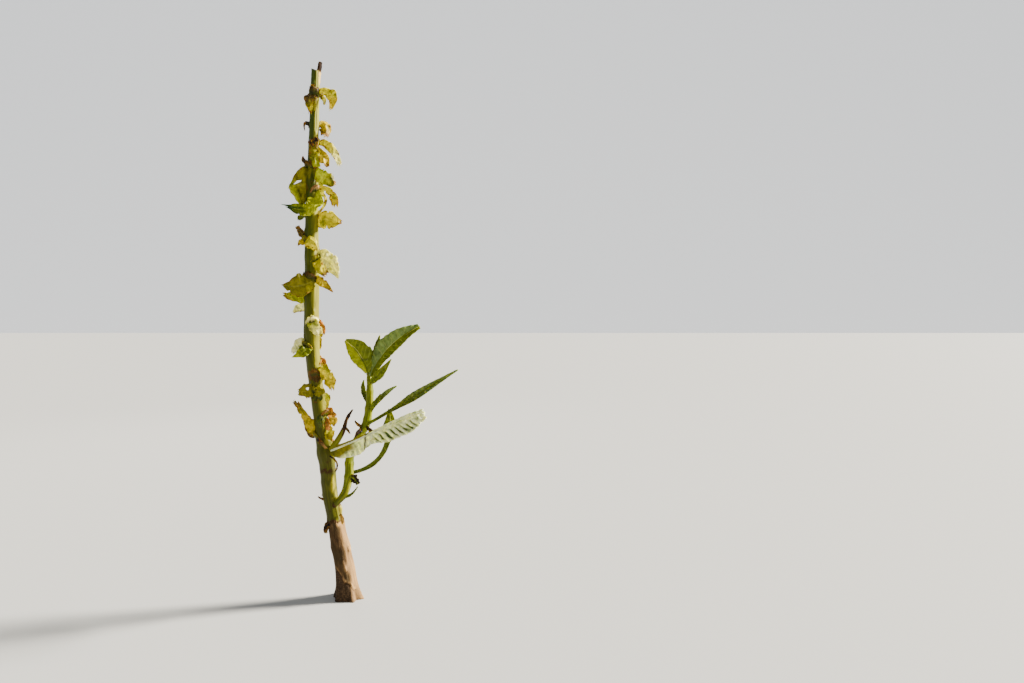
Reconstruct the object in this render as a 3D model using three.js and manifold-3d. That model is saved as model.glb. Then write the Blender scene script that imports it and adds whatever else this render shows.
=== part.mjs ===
// Tobacco stalk after the leaves were picked and the top was broken off, standing in the ground.
// Millimetres, +Z up. The origin is the middle of the stem's flat cut at ground level.
// A bare tapering stem carries the torn remains of its leaf bases and one leafy side shoot.
import * as THREE from "three";
import Module from "manifold-3d";

const wasm = await Module();
wasm.setup();

// Driving dimensions of the stem
const stemHeight = 1083; // to the broken rim of the top
const splinterHeight = 1100; // the dried splinter that stands above the rim
const leanStops = [ // height, sideways place of the stem's middle
  [0, 0], [50, -3.5], [105, -14], [160, -24.5], [212, -35], [265, -39.5], [320, -46],
  [424, -58], [520, -66.5], [650, -66], [850, -63.8], [1100, -52.5],
];
const bowStops = [[0, 0], [260, 5], [560, -3], [860, 4], [1100, 0]]; // height, place front to back
const radiusStops = [ // height, radius
  [0, 23], [25, 22], [50, 20.4], [80, 18.8], [132, 17.2], [165, 15.8], [240, 15.4], [320, 15.6],
  [400, 13.9], [500, 14.3], [607, 14.9], [700, 13.7], [760, 13.3], [848, 11.4], [919, 9.9],
  [990, 9.1], [1100, 8.5],
];
const swellings = [ // height, extra radius, half height of the old leaf joints that bulge
  [105, 1.6, 11], [160, 1.2, 9], [266, 0.9, 8], [300, 3, 14], [555, 0.9, 12], [706, 0.8, 10],
];
const stemSides = 14;
const ringStep = 25; // height between the stem's rings

// Driving dimensions of what grows on the stem
const clearance = 0.3; // between a leaf's root and the limb that carries it
const flapThickness = 1.3; // torn leaf remains
const bladeThickness = 2.4; // whole leaves of the side shoot
const flapSteps = 6;
const bladeSteps = 9;
const claspSteps = 6;
const flapColumns = [-1, 0, 1]; // shares of the half width
const bladeColumns = [-1, -0.5, 0, 0.5, 1];
const finestEdge = 0.12; // what is smaller is smoothed away after cutting

const degree = Math.PI / 180;
const point = (x, y, z) => new THREE.Vector3(x, y, z);

// Smooth value at a place among [place, value] stops
function along(stops, at) {
  const last = stops.length - 1;
  if (at <= stops[0][0]) return stops[0][1];
  if (at >= stops[last][0]) return stops[last][1];
  const i = stops.findIndex(([place]) => place > at) - 1;
  const [a, p] = stops[i];
  const [b, q] = stops[i + 1];
  const slope = (j, k) => (stops[k][1] - stops[j][1]) / (stops[k][0] - stops[j][0]);
  const into = slope(Math.max(i - 1, 0), i + 1) * (b - a);
  const out = slope(i, Math.min(i + 2, last)) * (b - a);
  const t = (at - a) / (b - a);
  const hermite = (2 * t ** 3 - 3 * t ** 2 + 1) * p + (t ** 3 - 2 * t ** 2 + t) * into;
  return hermite + (3 * t ** 2 - 2 * t ** 3) * q + (t ** 3 - t ** 2) * out;
}

// Value at share s of a list of equally spaced values
function spread(values, s) {
  const place = s * (values.length - 1);
  const i = Math.min(Math.floor(place), values.length - 2);
  return values[i] + (values[i + 1] - values[i]) * (place - i);
}

// Irregular wave between about -1 and 1 that a seed shifts
function ragged(s, seed) {
  const slow = Math.sin(11 * s + 2.3 * seed);
  const quick = Math.sin(23 * s + 4.1 * seed);
  return 0.6 * slow + 0.4 * quick;
}

// Solid with its faces pointing out through a row of closed rings of equally many points
function loft(rings) {
  const size = rings[0].length;
  const positions = rings.flat().flatMap((p) => [p.x, p.y, p.z]);
  const faces = [];
  for (let k = 0; k < rings.length - 1; k++) {
    for (let i = 0; i < size; i++) {
      const [a, b] = [k * size + i, k * size + ((i + 1) % size)];
      faces.push(a, b, b + size, a, b + size, a + size);
    }
  }
  const top = (rings.length - 1) * size;
  for (let i = 0; i < size / 2 - 1; i++) {
    const [a, b, c, d] = [i, i + 1, size - 2 - i, size - 1 - i];
    faces.push(a, d, c, a, c, b);
    faces.push(top + a, top + b, top + c, top + a, top + c, top + d);
  }
  const vertProperties = new Float32Array(positions);
  const closed = (corners) => {
    const triVerts = new Uint32Array(corners);
    return new wasm.Manifold(new wasm.Mesh({ numProp: 3, vertProperties, triVerts }));
  };
  const solid = closed(faces);
  return solid.volume() > 0 ? solid : closed(faces.reverse());
}

const fuse = (solids) => solids.reduce((sum, solid) => sum.add(solid));

// The largest body of a solid, without the loose scraps that cutting leaves
function wholeBody(solid) {
  const largest = (best, body) => (body.volume() > best.volume() ? body : best);
  return solid.decompose().reduce(largest).simplify(finestEdge);
}

function boxesMeet(one, other) {
  const [a, b] = [one.boundingBox(), other.boundingBox()];
  return [0, 1, 2].every((k) => a.min[k] < b.max[k] && b.min[k] < a.max[k]);
}

const cutClear = (solid, others) => others.filter((other) => boxesMeet(solid, other))
  .reduce((left, other) => left.subtract(other), solid);

// Faces of a closed mesh with every edge under the finest one drawn together
function withoutShortEdges(positions, faces) {
  const corner = (i) => point(...positions.slice(3 * i, 3 * i + 3));
  const length = (a, b) => corner(a).distanceTo(corner(b));
  const nearby = new Map();
  for (const face of faces) {
    for (const i of face) nearby.set(i, new Set([...(nearby.get(i) ?? []), ...face]));
  }
  const merged = new Map();
  const settled = new Set();
  for (const face of faces) {
    for (let i = 0; i < 3; i++) {
      const [a, b] = [face[i], face[(i + 1) % 3]];
      if (settled.has(a) || settled.has(b) || length(a, b) >= finestEdge) continue;
      const shared = [...nearby.get(a)].filter((k) => nearby.get(b).has(k));
      if (shared.length !== 4) continue;
      merged.set(b, a);
      [...nearby.get(a), ...nearby.get(b)].forEach((k) => settled.add(k));
    }
  }
  if (merged.size === 0) return faces;
  const kept = faces.map((face) => face.map((k) => merged.get(k) ?? k))
    .filter(([a, b, c]) => a !== b && b !== c && c !== a);
  return withoutShortEdges(positions, kept);
}

function namedMesh(name, solid, finish) {
  const mesh = solid.getMesh();
  const faceAt = (f) => [...mesh.triVerts.slice(3 * f, 3 * f + 3)];
  const faces = Array.from({ length: mesh.numTri }, (_, f) => faceAt(f));
  const geometry = new THREE.BufferGeometry();
  geometry.setAttribute("position", new THREE.Float32BufferAttribute(mesh.vertProperties, 3));
  geometry.setIndex(withoutShortEdges(mesh.vertProperties, faces).flat());
  geometry.computeVertexNormals();
  const part = new THREE.Mesh(geometry, finish);
  part.name = name;
  return part;
}

// Finishes
const finishOf = (color, roughness) => new THREE.MeshStandardMaterial({ color, roughness, metalness: 0 });
const finishes = {
  stem: finishOf(0x7d8a26, 0.55),
  shoot: finishOf(0x5b8030, 0.5),
  yellow: finishOf(0xd2c01c, 0.6),
  lime: finishOf(0xa9b81f, 0.6),
  olive: finishOf(0x7d7d1a, 0.65),
  cream: finishOf(0xe6dfa0, 0.6),
  brown: finishOf(0x6f3f1c, 0.8),
  dark: finishOf(0x35241a, 0.85),
  green: finishOf(0x4f7d2e, 0.5),
  pale: finishOf(0xc3d69a, 0.5),
  blueGreen: finishOf(0x527f55, 0.45),
};

// Stem
const stemMiddle = (z) => point(along(leanStops, z), along(bowStops, z), z);

function stemRadius(z) {
  const bulge = swellings.map(([at, extra, half]) => extra * Math.exp(-(((z - at) / half) ** 2)));
  return along(radiusStops, z) + bulge.reduce((sum, extra) => sum + extra);
}

// Point on the stem's surface at a height and a compass turn, 0 towards +X and -90 towards the front
function onStem(z, turn, depth = 1) {
  const r = stemRadius(z) * depth;
  return stemMiddle(z).add(point(r * Math.cos(turn * degree), r * Math.sin(turn * degree), 0));
}

function stemRing(z, extra) {
  const middle = stemMiddle(z);
  return Array.from({ length: stemSides }, (_, i) => {
    const angle = (i / stemSides) * 2 * Math.PI;
    const r = stemRadius(z) + extra;
    return point(middle.x + r * Math.cos(angle), middle.y + r * Math.sin(angle), z);
  });
}

// Round limb through points, with a radius for each share of its length
function limb(points, radii, sides, steps, extra = 0) {
  const curve = new THREE.CatmullRomCurve3(points.map(([x, y, z]) => point(x, y, z)));
  const frames = curve.computeFrenetFrames(steps, false);
  const rings = frames.normals.map((normal, k) => {
    const middle = curve.getPointAt(k / steps);
    const r = spread(radii, k / steps) + extra;
    return Array.from({ length: sides }, (_, i) => {
      const angle = (i / sides) * 2 * Math.PI;
      return middle.clone().addScaledVector(normal, r * Math.cos(angle))
        .addScaledVector(frames.binormals[k], r * Math.sin(angle));
    });
  });
  return loft(rings);
}

// Root toes at the foot: turn, reach beyond the stem, height at which the toe leaves it
const rootToes = [[-12, 8, 34], [-58, 3, 26], [-128, 1, 22], [172, 0, 24], [105, 3, 26], [48, 5, 30]];
const toeRadii = [5, 7, 6.5];

function rootToe([turn, reach, height], extra) {
  const inner = onStem(height, turn, 0.75);
  const middle = onStem(height * 0.45, turn, 0.95);
  const outer = onStem(0, turn, 1 + reach / stemRadius(0)).setZ(-6);
  return limb([inner, middle, outer].map((p) => p.toArray()), toeRadii, 8, 4, extra);
}

// Old petiole scars and bark lips that stand out of the lower stem: height, turn, length, radius
const stemKnobs = [[186, -8, 22, 5.2], [103, -20, 14, 4.6], [68, -70, 20, 4.2], [214, 186, 7, 2.4]];

function stemKnob([height, turn, length, radius], extra) {
  const ends = [height + length * 0.5, height, height - length * 0.6];
  const depths = [0.8, 0.98, 0.78];
  const points = ends.map((z, i) => onStem(z, turn, depths[i]).toArray());
  return limb(points, [radius * 0.7, radius, radius * 0.8], 6, 4, extra);
}

function stemSolid(extra = 0) {
  const rings = [];
  const count = Math.round(stemHeight / ringStep);
  for (let k = 0; k <= count; k++) rings.push(stemRing((k / count) * stemHeight, extra));
  const rim = rings[rings.length - 1];
  rim.forEach((p, i) => { p.z += extra + 2.2 * Math.sin(2.6 * i) - 1.5; });
  const splinterRoot = onStem(stemHeight - 40, -5, 0.6);
  const splinterPoints = [
    splinterRoot.toArray(),
    onStem(stemHeight - 8, -5, 0.72).toArray(),
    [splinterRoot.x + 6.5, splinterRoot.y, splinterHeight - 1],
  ];
  const splinter = limb(splinterPoints, [2.5, 3.6, 2.6], 6, 5, extra);
  const toes = rootToes.map((toe) => rootToe(toe, extra));
  const knobs = stemKnobs.map((knob) => stemKnob(knob, extra));
  return fuse([loft(rings), splinter, ...toes, ...knobs]).trimByPlane([0, 0, 1], 0);
}

// Side shoot, and the dead stub of a second one
const shootPoints = [
  [-26, -6, 193], [-2, -8, 221], [7, -7, 258], [9, -3, 298], [24, 0, 332], [42, 1, 364],
  [49, 1, 405], [50, 1, 440], [48, 0, 474],
];
const shootRadii = [5.5, 7.5, 9, 8.6, 8.2, 8.4, 7.8, 6.6, 3.6];
const deadShootPoints = [[-30, -6, 309], [-18, -8, 326], [-3, -8, 352], [6, -7, 383]];
const deadShootRadii = [6.5, 6, 4.4, 1.7];
const sideShoot = (extra = 0) => limb(shootPoints, shootRadii, 10, 22, extra);
const deadShoot = (extra = 0) => limb(deadShootPoints, deadShootRadii, 8, 8, extra);

// Leaf blade
// It runs from root through mid to tip, and faces the compass turn facing, tilted up by tilt.
// right and left are its half widths at equal steps, seen from its face along its growth.
// fold lifts both halves about the midrib, cup bends them, and torn roughens the edge.
function blade(spec, thickness, steps, columns, extra = 0) {
  const { root, mid, tip, facing = -90, tilt = 0, fold = 0, cup = 0, torn = 0.12, seed = 1 } = spec;
  const right = spec.right ?? spec.wide;
  const left = spec.left ?? spec.wide;
  const control = mid.clone().multiplyScalar(2).addScaledVector(root, -0.5).addScaledVector(tip, -0.5);
  const curve = new THREE.QuadraticBezierCurve3(root, control, tip);
  const rings = [];
  for (let k = 0; k <= steps; k++) {
    const s = k / steps;
    const turn = facing * degree;
    const rise = tilt * degree;
    const face = point(Math.cos(turn) * Math.cos(rise), Math.sin(turn) * Math.cos(rise), Math.sin(rise));
    const tangent = curve.getTangent(s);
    const across = tangent.clone().cross(face).normalize();
    const normal = across.clone().cross(tangent).normalize();
    const front = [];
    const back = [];
    for (const column of columns) {
      const sideSeed = column > 0 ? seed : seed + 3;
      const half = spread(column > 0 ? right : left, s) * (1 + torn * ragged(s, sideSeed)) + extra;
      const reach = Math.max(half, 0.8) * Math.abs(column);
      const bend = fold * degree;
      const ruffle = 0.12 * reach * ragged(s, sideSeed + 1);
      const lift = reach * Math.sin(bend) + cup * half * column ** 2 + ruffle;
      const place = curve.getPoint(s).addScaledVector(across, Math.sign(column) * reach * Math.cos(bend))
        .addScaledVector(normal, lift);
      const thick = thickness / 2 + extra;
      front.push(place.clone().addScaledVector(normal, thick));
      back.unshift(place.clone().addScaledVector(normal, -thick));
    }
    rings.push([...front, ...back]);
  }
  return loft(rings);
}

// Woody rim of a picked leaf that clasps the stem at a height, over spread degrees to each side
function clasp({ height, turn, span = 75, ledge = 6, tall = 9, droop = 12 }, extra = 0) {
  const rings = [];
  for (let k = 0; k <= claspSteps; k++) {
    const across = (2 * k) / claspSteps - 1;
    const full = Math.cos(across * 1.25);
    const z = height - droop * across ** 2;
    const half = 0.5 * tall * (0.35 + 0.65 * full) + extra;
    const out = 0.9 + ledge * full ** 2 + extra;
    const angle = turn + span * across;
    const edge = (dz, grow) => {
      const at = onStem(z + dz, angle, 0);
      const r = stemRadius(z) + grow;
      return at.add(point(r * Math.cos(angle * degree), r * Math.sin(angle * degree), 0));
    };
    rings.push([edge(-half, -2), edge(-half, out * 0.6), edge(half, out), edge(half, -2)]);
  }
  return loft(rings);
}

// Torn leaf remains: each has its clasp at height and turn, and flaps that hang from it.
// A flap leaves the stem at its own turn, drop below the clasp. mid and tip are measured
// from the stem's middle at the clasp: right, back, up.
const remains = [
  { height: 1040, turn: -95, span: 95, ledge: 7, tall: 8, finish: "yellow", flaps: [
    { turn: -120, drop: 3, mid: [-7, -15, -22], tip: [-6, -13, -47],
      left: [8, 11, 9, 2], right: [4, 11, 9, 2], facing: -100 },
    { turn: -40, drop: 1, mid: [35, -9, -10], tip: [33, -9, -38], wide: [5, 9, 11, 9, 3], facing: -80 },
    { turn: -15, drop: 5, mid: [17, -1, -15], tip: [18, -1, -27], wide: [4, 5, 2], facing: -60 },
  ] },
  { height: 978, turn: 95, span: 95, ledge: 4, finish: "dark", flaps: [
    { turn: 158, drop: 5, mid: [-20, 6, 0], tip: [-20, 3, -14], wide: [5, 4, 3, 1], facing: -110 },
    { turn: 25, drop: 0, mid: [20, 4, 1], tip: [22, 3, -20],
      wide: [5, 10, 12, 6], facing: -70, cup: -0.3 },
  ] },
  { height: 940, turn: -50, span: 70, finish: "yellow", flaps: [
    { turn: -35, drop: 0, mid: [36, -9, -14], tip: [55, -9, -49], wide: [5, 8, 8, 8, 4], facing: -80 },
    { turn: -75, drop: 2, mid: [5, -15, -28], tip: [11, -14, -56],
      wide: [7, 9, 9, 6], facing: -80, cup: -0.25 },
    { turn: -25, drop: 10, mid: [20, -9, -30], tip: [31, -8, -52], wide: [4, 6, 11, 5], facing: -75 },
  ] },
  { height: 893, turn: -125, span: 85, ledge: 8, finish: "olive", flaps: [
    { turn: -160, drop: 40, mid: [-28, -11, -41], tip: [-46, -12, -48],
      left: [36, 38, 36, 24, 3], right: [43, 40, 26, 14, 3], torn: 0.05, seed: 4 },
    { turn: -55, drop: 10, mid: [28, -13, -29], tip: [46, -10, -32],
      wide: [8, 14, 14, 10], facing: -85, seed: 2 },
  ] },
  { height: 846, turn: -35, span: 60, finish: "lime", flaps: [
    { turn: -35, drop: 6, mid: [2, -19, -42], tip: [-46, -16, -40],
      wide: [8, 14, 11, 8, 1], cup: 0.12, seed: 5 },
    { turn: -8, drop: 0, mid: [36, -5, -7], tip: [47, -5, -37],
      wide: [4, 5, 7, 9, 6], facing: -80, seed: 7 },
    { turn: -15, drop: 4, mid: [29, -8, -24], tip: [14, -13, -52], wide: [3.5, 3, 3, 2], facing: -60 },
  ] },
  { height: 798, turn: 88, span: 100, ledge: 5, finish: "yellow", flaps: [
    { turn: -5, drop: 16, mid: [34, -5, -17], tip: [60, -5, -21],
      wide: [12, 18, 18, 14, 3], facing: -95, seed: 3 },
    { turn: 172, drop: 4, mid: [-22, 5, -7], tip: [-28, 4, -16],
      wide: [4, 6, 6, 3], facing: -85, seed: 2 },
  ] },
  { height: 745, turn: -165, span: 75, finish: "olive", flaps: [
    { turn: -175, drop: 2, mid: [-21, -2, 10], tip: [-29, -2, 24], wide: [6, 4, 3, 2], facing: -80 },
    { turn: -170, drop: 9, mid: [-20, -5, -9], tip: [-27, -4, -16], wide: [5, 7, 5, 1], seed: 6 },
    { turn: -150, drop: 2, mid: [1, -20, -9], tip: [14, -18, -27],
      wide: [4, 5, 8, 7, 3], facing: -85, cup: -0.15 },
  ] },
  { height: 706, turn: -15, span: 70, finish: "cream", flaps: [
    { turn: -10, drop: 3, mid: [34, -7, -8], tip: [56, -8, -40],
      wide: [12, 18, 19, 15, 5], facing: -85, cup: -0.15, seed: 8 },
    { turn: -40, drop: 2, mid: [19, -16, -20], tip: [34, -16, -36],
      wide: [7, 9, 10, 7], facing: -80, seed: 3 },
  ] },
  { height: 668, turn: -105, span: 80, ledge: 11, tall: 13, finish: "olive", flaps: [
    { turn: -115, drop: 14, mid: [-24, -21, -25], tip: [-50, -18, -22],
      wide: [15, 19, 17, 12, 2], facing: -95, torn: 0.08, seed: 6 },
    { turn: -45, drop: 4, mid: [29, -15, -17], tip: [46, -14, -34],
      wide: [5, 8, 6, 2], facing: -75, seed: 4 },
  ] },
  { height: 625, turn: 140, span: 85, ledge: 5, finish: "lime", flaps: [
    { turn: 165, drop: 2, mid: [-36, 7, 0], tip: [-60, 6, 5], wide: [8, 9, 9, 7, 3], seed: 5 },
    { turn: 170, drop: 16, mid: [-28, 9, -22], tip: [-40, 9, -32],
      wide: [6, 9, 8, 2], facing: -100, seed: 9 },
  ] },
  { height: 580, turn: -60, span: 65, finish: "cream", flaps: [
    { turn: -75, drop: 2, mid: [11, -19, -15], tip: [22, -18, -31],
      wide: [7, 9, 8, 5], facing: -85, cup: 0.15, seed: 2 },
    { turn: -20, drop: 0, mid: [23, -8, -13], tip: [27, -8, -32],
      wide: [3, 5, 5, 2], facing: -70, seed: 5 },
  ] },
  { height: 530, turn: -150, span: 80, finish: "cream", flaps: [
    { turn: -170, drop: 0, mid: [-25, -8, -6], tip: [-37, -9, -19],
      wide: [8, 11, 10, 3], facing: -100, seed: 7 },
    { turn: -110, drop: 4, mid: [-12, -21, -16], tip: [-32, -18, -26],
      wide: [8, 10, 8, 1], facing: -90, seed: 3 },
  ] },
  { height: 497, turn: 60, span: 85, ledge: 5, finish: "brown", flaps: [
    { turn: 20, drop: 0, mid: [20, 4, -3], tip: [22, 4, -13], wide: [3, 5, 3], facing: -70 },
    { turn: 95, drop: 4, mid: [2, 26, -14], tip: [8, 30, -40],
      wide: [6, 11, 9, 2], facing: 90, seed: 4 },
  ] },
  { height: 472, turn: -70, span: 60, ledge: 8, tall: 15, finish: "yellow", flaps: [
    { turn: -35, drop: 4, mid: [28, -13, -6], tip: [39, -11, -34],
      wide: [10, 15, 14, 10, 5], facing: -80, torn: 0.3, seed: 2 },
    { turn: -15, drop: 8, mid: [30, -4, -14], tip: [43, -4, -22],
      wide: [4, 6, 5, 2], facing: -65, seed: 6 },
  ] },
  { height: 437, turn: -105, span: 60, ledge: 5, finish: "olive", flaps: [
    { turn: -115, drop: 2, mid: [-13, -20, -3], tip: [-33, -17, -6],
      wide: [12, 14, 13, 11, 6], facing: -95, seed: 3 },
    { turn: -70, drop: 2, mid: [9, -19, -4], tip: [21, -15, -4],
      wide: [9, 10, 9, 4], facing: -80, seed: 6 },
  ] },
  { height: 390, turn: 0, span: 75, finish: "brown", flaps: [
    { turn: 5, drop: 0, mid: [25, -2, -7], tip: [27, -4, -31],
      wide: [5, 9, 9, 6], facing: -75, torn: 0.3, seed: 5 },
    { turn: -55, drop: 2, mid: [7, -17, -16], tip: [8, -16, -32],
      wide: [6, 7, 4], facing: -65, cup: -0.2 },
    { turn: -25, drop: 34, mid: [21, -11, -43], tip: [27, -9, -59],
      wide: [8, 12, 10, 3], facing: -80, torn: 0.3, seed: 8 },
    { turn: -20, drop: 18, mid: [18, -8, -22], tip: [19, -8, -42],
      wide: [4, 5, 4], facing: -70, seed: 2 },
  ] },
  { height: 345, turn: -170, span: 75, finish: "yellow", flaps: [
    { turn: -150, drop: 0, mid: [-28, -11, 28], tip: [-52, -9, 66],
      wide: [14, 12, 9, 7, 5], facing: -80, seed: 4 },
    { turn: 175, drop: 6, mid: [-26, 2, 2], tip: [-35, 3, 20],
      wide: [6, 9, 8, 3], facing: -95, seed: 7 },
  ] },
  { height: 870, turn: 105, span: 75, ledge: 5, finish: "lime", flaps: [
    { turn: 80, drop: 4, mid: [6, 26, -16], tip: [10, 26, -46],
      wide: [6, 11, 10, 7, 1], facing: 85, seed: 2 },
    { turn: 130, drop: 4, mid: [-9, 22, -12], tip: [-12, 20, -32],
      wide: [5, 8, 7, 2], facing: 120, seed: 8 },
  ] },
  { height: 725, turn: 88, span: 75, ledge: 6, finish: "olive", flaps: [
    { turn: 55, drop: 3, mid: [12, 26, -12], tip: [17, 36, -38], wide: [6, 12, 12, 8, 2], facing: 70, seed: 2 },
    { turn: 115, drop: 5, mid: [-8, 28, -10], tip: [-11, 40, -32], wide: [6, 10, 9, 3], facing: 100, seed: 8 },
  ] },
  { height: 562, turn: 105, span: 75, ledge: 6, finish: "yellow", flaps: [
    { turn: 76, drop: 4, mid: [5, 29, -15], tip: [8, 32, -45],
      wide: [7, 12, 10, 6, 2], facing: 85, seed: 9 },
    { turn: 138, drop: 3, mid: [-12, 26, -4], tip: [-14, 38, -22],
      wide: [5, 8, 7, 2], facing: 110, seed: 4 },
  ] },
  { height: 430, turn: 80, span: 75, ledge: 6, finish: "olive", flaps: [
    { turn: 60, drop: 4, mid: [10, 25, -14], tip: [12, 30, -40],
      wide: [6, 11, 9, 2], facing: 80, seed: 6 },
    { turn: 110, drop: 4, mid: [-7, 30, -6], tip: [-10, 44, -26],
      wide: [6, 10, 9, 3], facing: 100, seed: 2 },
  ] },
  { height: 332, turn: 95, span: 75, ledge: 7, finish: "brown", flaps: [
    { turn: 80, drop: 6, mid: [4, 28, -12], tip: [8, 31, -38],
      wide: [7, 11, 9, 2], facing: 90, seed: 3 },
  ] },
];

// Leaves of the side shoot and the lower leaves beside it, from root through mid to tip
const shootLeaves = [
  {
    name: "shoot_leaf_left", finish: "green",
    root: [47, -3, 470], mid: [31, -12, 508], tip: [5, -15, 536],
    left: [6, 15, 19, 15, 3], right: [6, 20, 28, 23, 4], facing: -95, tilt: 12, fold: 22, torn: 0.05,
  },
  {
    name: "shoot_leaf_centre", finish: "green",
    root: [50, 4, 462], mid: [61, 10, 508], tip: [70, 8, 546],
    wide: [4, 7, 8, 6, 1], facing: -100, fold: 20,
  },
  {
    name: "shoot_leaf_centre_right", finish: "green",
    root: [53, 3, 458], mid: [73, 12, 500], tip: [96, 12, 536],
    wide: [4, 8, 9, 6, 1], facing: -80, fold: 22,
  },
  {
    name: "shoot_leaf_right", finish: "blueGreen",
    root: [53, -3, 462], mid: [93, -8, 521], tip: [153, -8, 566],
    wide: [5, 10, 17, 18, 13, 4], facing: -95, tilt: 10, fold: 15, torn: 0.05,
  },
  {
    name: "shoot_leaf_low_right", finish: "lime",
    root: [52, -5, 448], mid: [75, -14, 470], tip: [98, -17, 499],
    wide: [4, 8, 9, 6, 1], facing: -80, fold: 25,
  },
  {
    name: "shoot_leaf_back_left", finish: "green",
    root: [46, 6, 404], mid: [35, 12, 430], tip: [34, 14, 453],
    wide: [3, 5, 5, 1], facing: -100, fold: 15,
  },
  {
    name: "shoot_leaf_back", finish: "green",
    root: [50, 6, 448], mid: [48, 26, 486], tip: [40, 52, 520],
    wide: [4, 10, 13, 9, 1], facing: -90, tilt: 30, fold: 20,
  },
  {
    name: "shoot_leaf_slim", finish: "green",
    root: [49, -2, 384], mid: [73, -4, 418], tip: [107, -4, 443],
    wide: [2.5, 4, 5, 5, 1], facing: -85, fold: 20,
  },
  {
    name: "shoot_leaf_small", finish: "lime",
    root: [50, -5, 396], mid: [64, -10, 409], tip: [74, -12, 427],
    wide: [2, 5, 5, 1], facing: -85, fold: 20,
  },
  {
    name: "shoot_leaf_long", finish: "green",
    root: [43, -5, 362], mid: [130, -16, 414], tip: [231, -18, 478],
    wide: [3, 3.5, 4, 6, 9.5, 8, 5, 1.5], facing: -85, tilt: 15, fold: 20, torn: 0.06,
  },
  {
    name: "pale_leaf", finish: "pale",
    root: [-30, -11, 309], mid: [60, -40, 350], tip: [164, -46, 398],
    left: [6, 6, 5, 5, 6, 9, 7], right: [9, 25, 31, 23, 28, 30, 17],
    facing: -85, tilt: 25, torn: 0.1, seed: 3,
  },
  {
    name: "lower_leaf", finish: "green",
    root: [10, 0, 262], mid: [73, 15, 300], tip: [88, 17, 392],
    wide: [4, 4.5, 5, 5.5, 7, 14, 3], facing: -85, fold: 18, torn: 0.1, seed: 2,
  },
  {
    name: "foot_leaf", finish: "green",
    root: [-8, -7, 213], mid: [10, -11, 218], tip: [27, -12, 236],
    wide: [3.2, 3, 2.4, 1], facing: -100, tilt: 20,
  },
  {
    name: "withered_leaf", finish: "dark",
    root: [10, -12, 258], mid: [20, -17, 253], tip: [29, -17, 242],
    wide: [4, 7, 8, 3], facing: -80, torn: 0.35, seed: 4,
  },
];

// One remnant: its clasp and flaps, fused
function remnant({ height, flaps, ...rest }, extra = 0) {
  const middle = stemMiddle(height);
  const sheets = flaps.map((flap) => {
    const root = onStem(height - flap.drop, flap.turn, 0.72);
    const at = (offset) => middle.clone().add(point(...offset));
    const placed = { ...flap, root, mid: at(flap.mid), tip: at(flap.tip) };
    return blade(placed, flapThickness, flapSteps, flapColumns, extra);
  });
  return fuse([clasp({ height, ...rest }, extra), ...sheets]);
}

function shootLeaf({ root, mid, tip, ...rest }, extra = 0) {
  const placed = { ...rest, root: point(...root), mid: point(...mid), tip: point(...tip) };
  return blade(placed, bladeThickness, bladeSteps, bladeColumns, extra);
}

// The plant
const plant = new THREE.Group();
plant.name = "tobacco_plant";
const taken = [stemSolid(clearance)];
plant.add(namedMesh("stem", wholeBody(stemSolid()), finishes.stem));

function addClear(name, solid, grown, finish) {
  plant.add(namedMesh(name, wholeBody(cutClear(solid, taken)), finishes[finish]));
  taken.push(grown);
}

addClear("side_shoot", sideShoot(), sideShoot(clearance), "shoot");
addClear("dead_shoot", deadShoot(), deadShoot(clearance), "dark");
for (const leaf of shootLeaves) {
  addClear(leaf.name, shootLeaf(leaf), shootLeaf(leaf, clearance), leaf.finish);
}
remains.forEach((item, i) => {
  const name = `leaf_remnant_${String(i + 1).padStart(2, "0")}`;
  addClear(name, remnant(item), remnant(item, clearance), item.finish);
});

export default plant;
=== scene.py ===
# A picked and topped tobacco stalk: fine bark, torn leaf bases and a leafy side shoot.
# The tables are in millimetres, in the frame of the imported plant; the finished meshes are in metres.
import math
import random

import bpy
import numpy as np
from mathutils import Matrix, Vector, noise


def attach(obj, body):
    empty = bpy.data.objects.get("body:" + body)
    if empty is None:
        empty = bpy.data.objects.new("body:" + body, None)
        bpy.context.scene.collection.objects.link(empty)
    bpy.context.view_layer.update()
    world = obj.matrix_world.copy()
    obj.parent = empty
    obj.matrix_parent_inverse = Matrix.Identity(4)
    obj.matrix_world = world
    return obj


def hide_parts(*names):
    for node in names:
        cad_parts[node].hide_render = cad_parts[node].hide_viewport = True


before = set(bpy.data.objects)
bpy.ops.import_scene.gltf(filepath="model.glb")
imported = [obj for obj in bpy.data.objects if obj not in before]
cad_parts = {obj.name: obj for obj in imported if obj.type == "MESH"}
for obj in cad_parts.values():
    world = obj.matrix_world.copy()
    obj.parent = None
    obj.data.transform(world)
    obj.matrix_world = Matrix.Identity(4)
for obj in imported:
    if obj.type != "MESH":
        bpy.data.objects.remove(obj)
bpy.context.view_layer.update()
mm = 0.001
print("plant frame loaded")


def along(stops, at):  # smooth value at a place among (place, value) stops
    last = len(stops) - 1
    if at <= stops[0][0]:
        return stops[0][1]
    if at >= stops[last][0]:
        return stops[last][1]
    i = next(k for k, stop in enumerate(stops) if stop[0] > at) - 1
    (a, p), (b, q) = stops[i], stops[i + 1]

    def slope(j, k):
        return (stops[k][1] - stops[j][1]) / (stops[k][0] - stops[j][0])

    into = slope(max(i - 1, 0), i + 1) * (b - a)
    out = slope(i, min(i + 2, last)) * (b - a)
    t = (at - a) / (b - a)
    value = (2 * t ** 3 - 3 * t ** 2 + 1) * p + (t ** 3 - 2 * t ** 2 + t) * into
    return value + (3 * t ** 2 - 2 * t ** 3) * q + (t ** 3 - t ** 2) * out


def spread(values, share):  # smooth value at a share of evenly spaced values
    return along([(i / (len(values) - 1), v) for i, v in enumerate(values)], share)


def ease(value, low, high):  # 0 below low, 1 above high, smooth between them
    t = min(max((value - low) / (high - low), 0.0), 1.0)
    return t * t * (3 - 2 * t)


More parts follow.
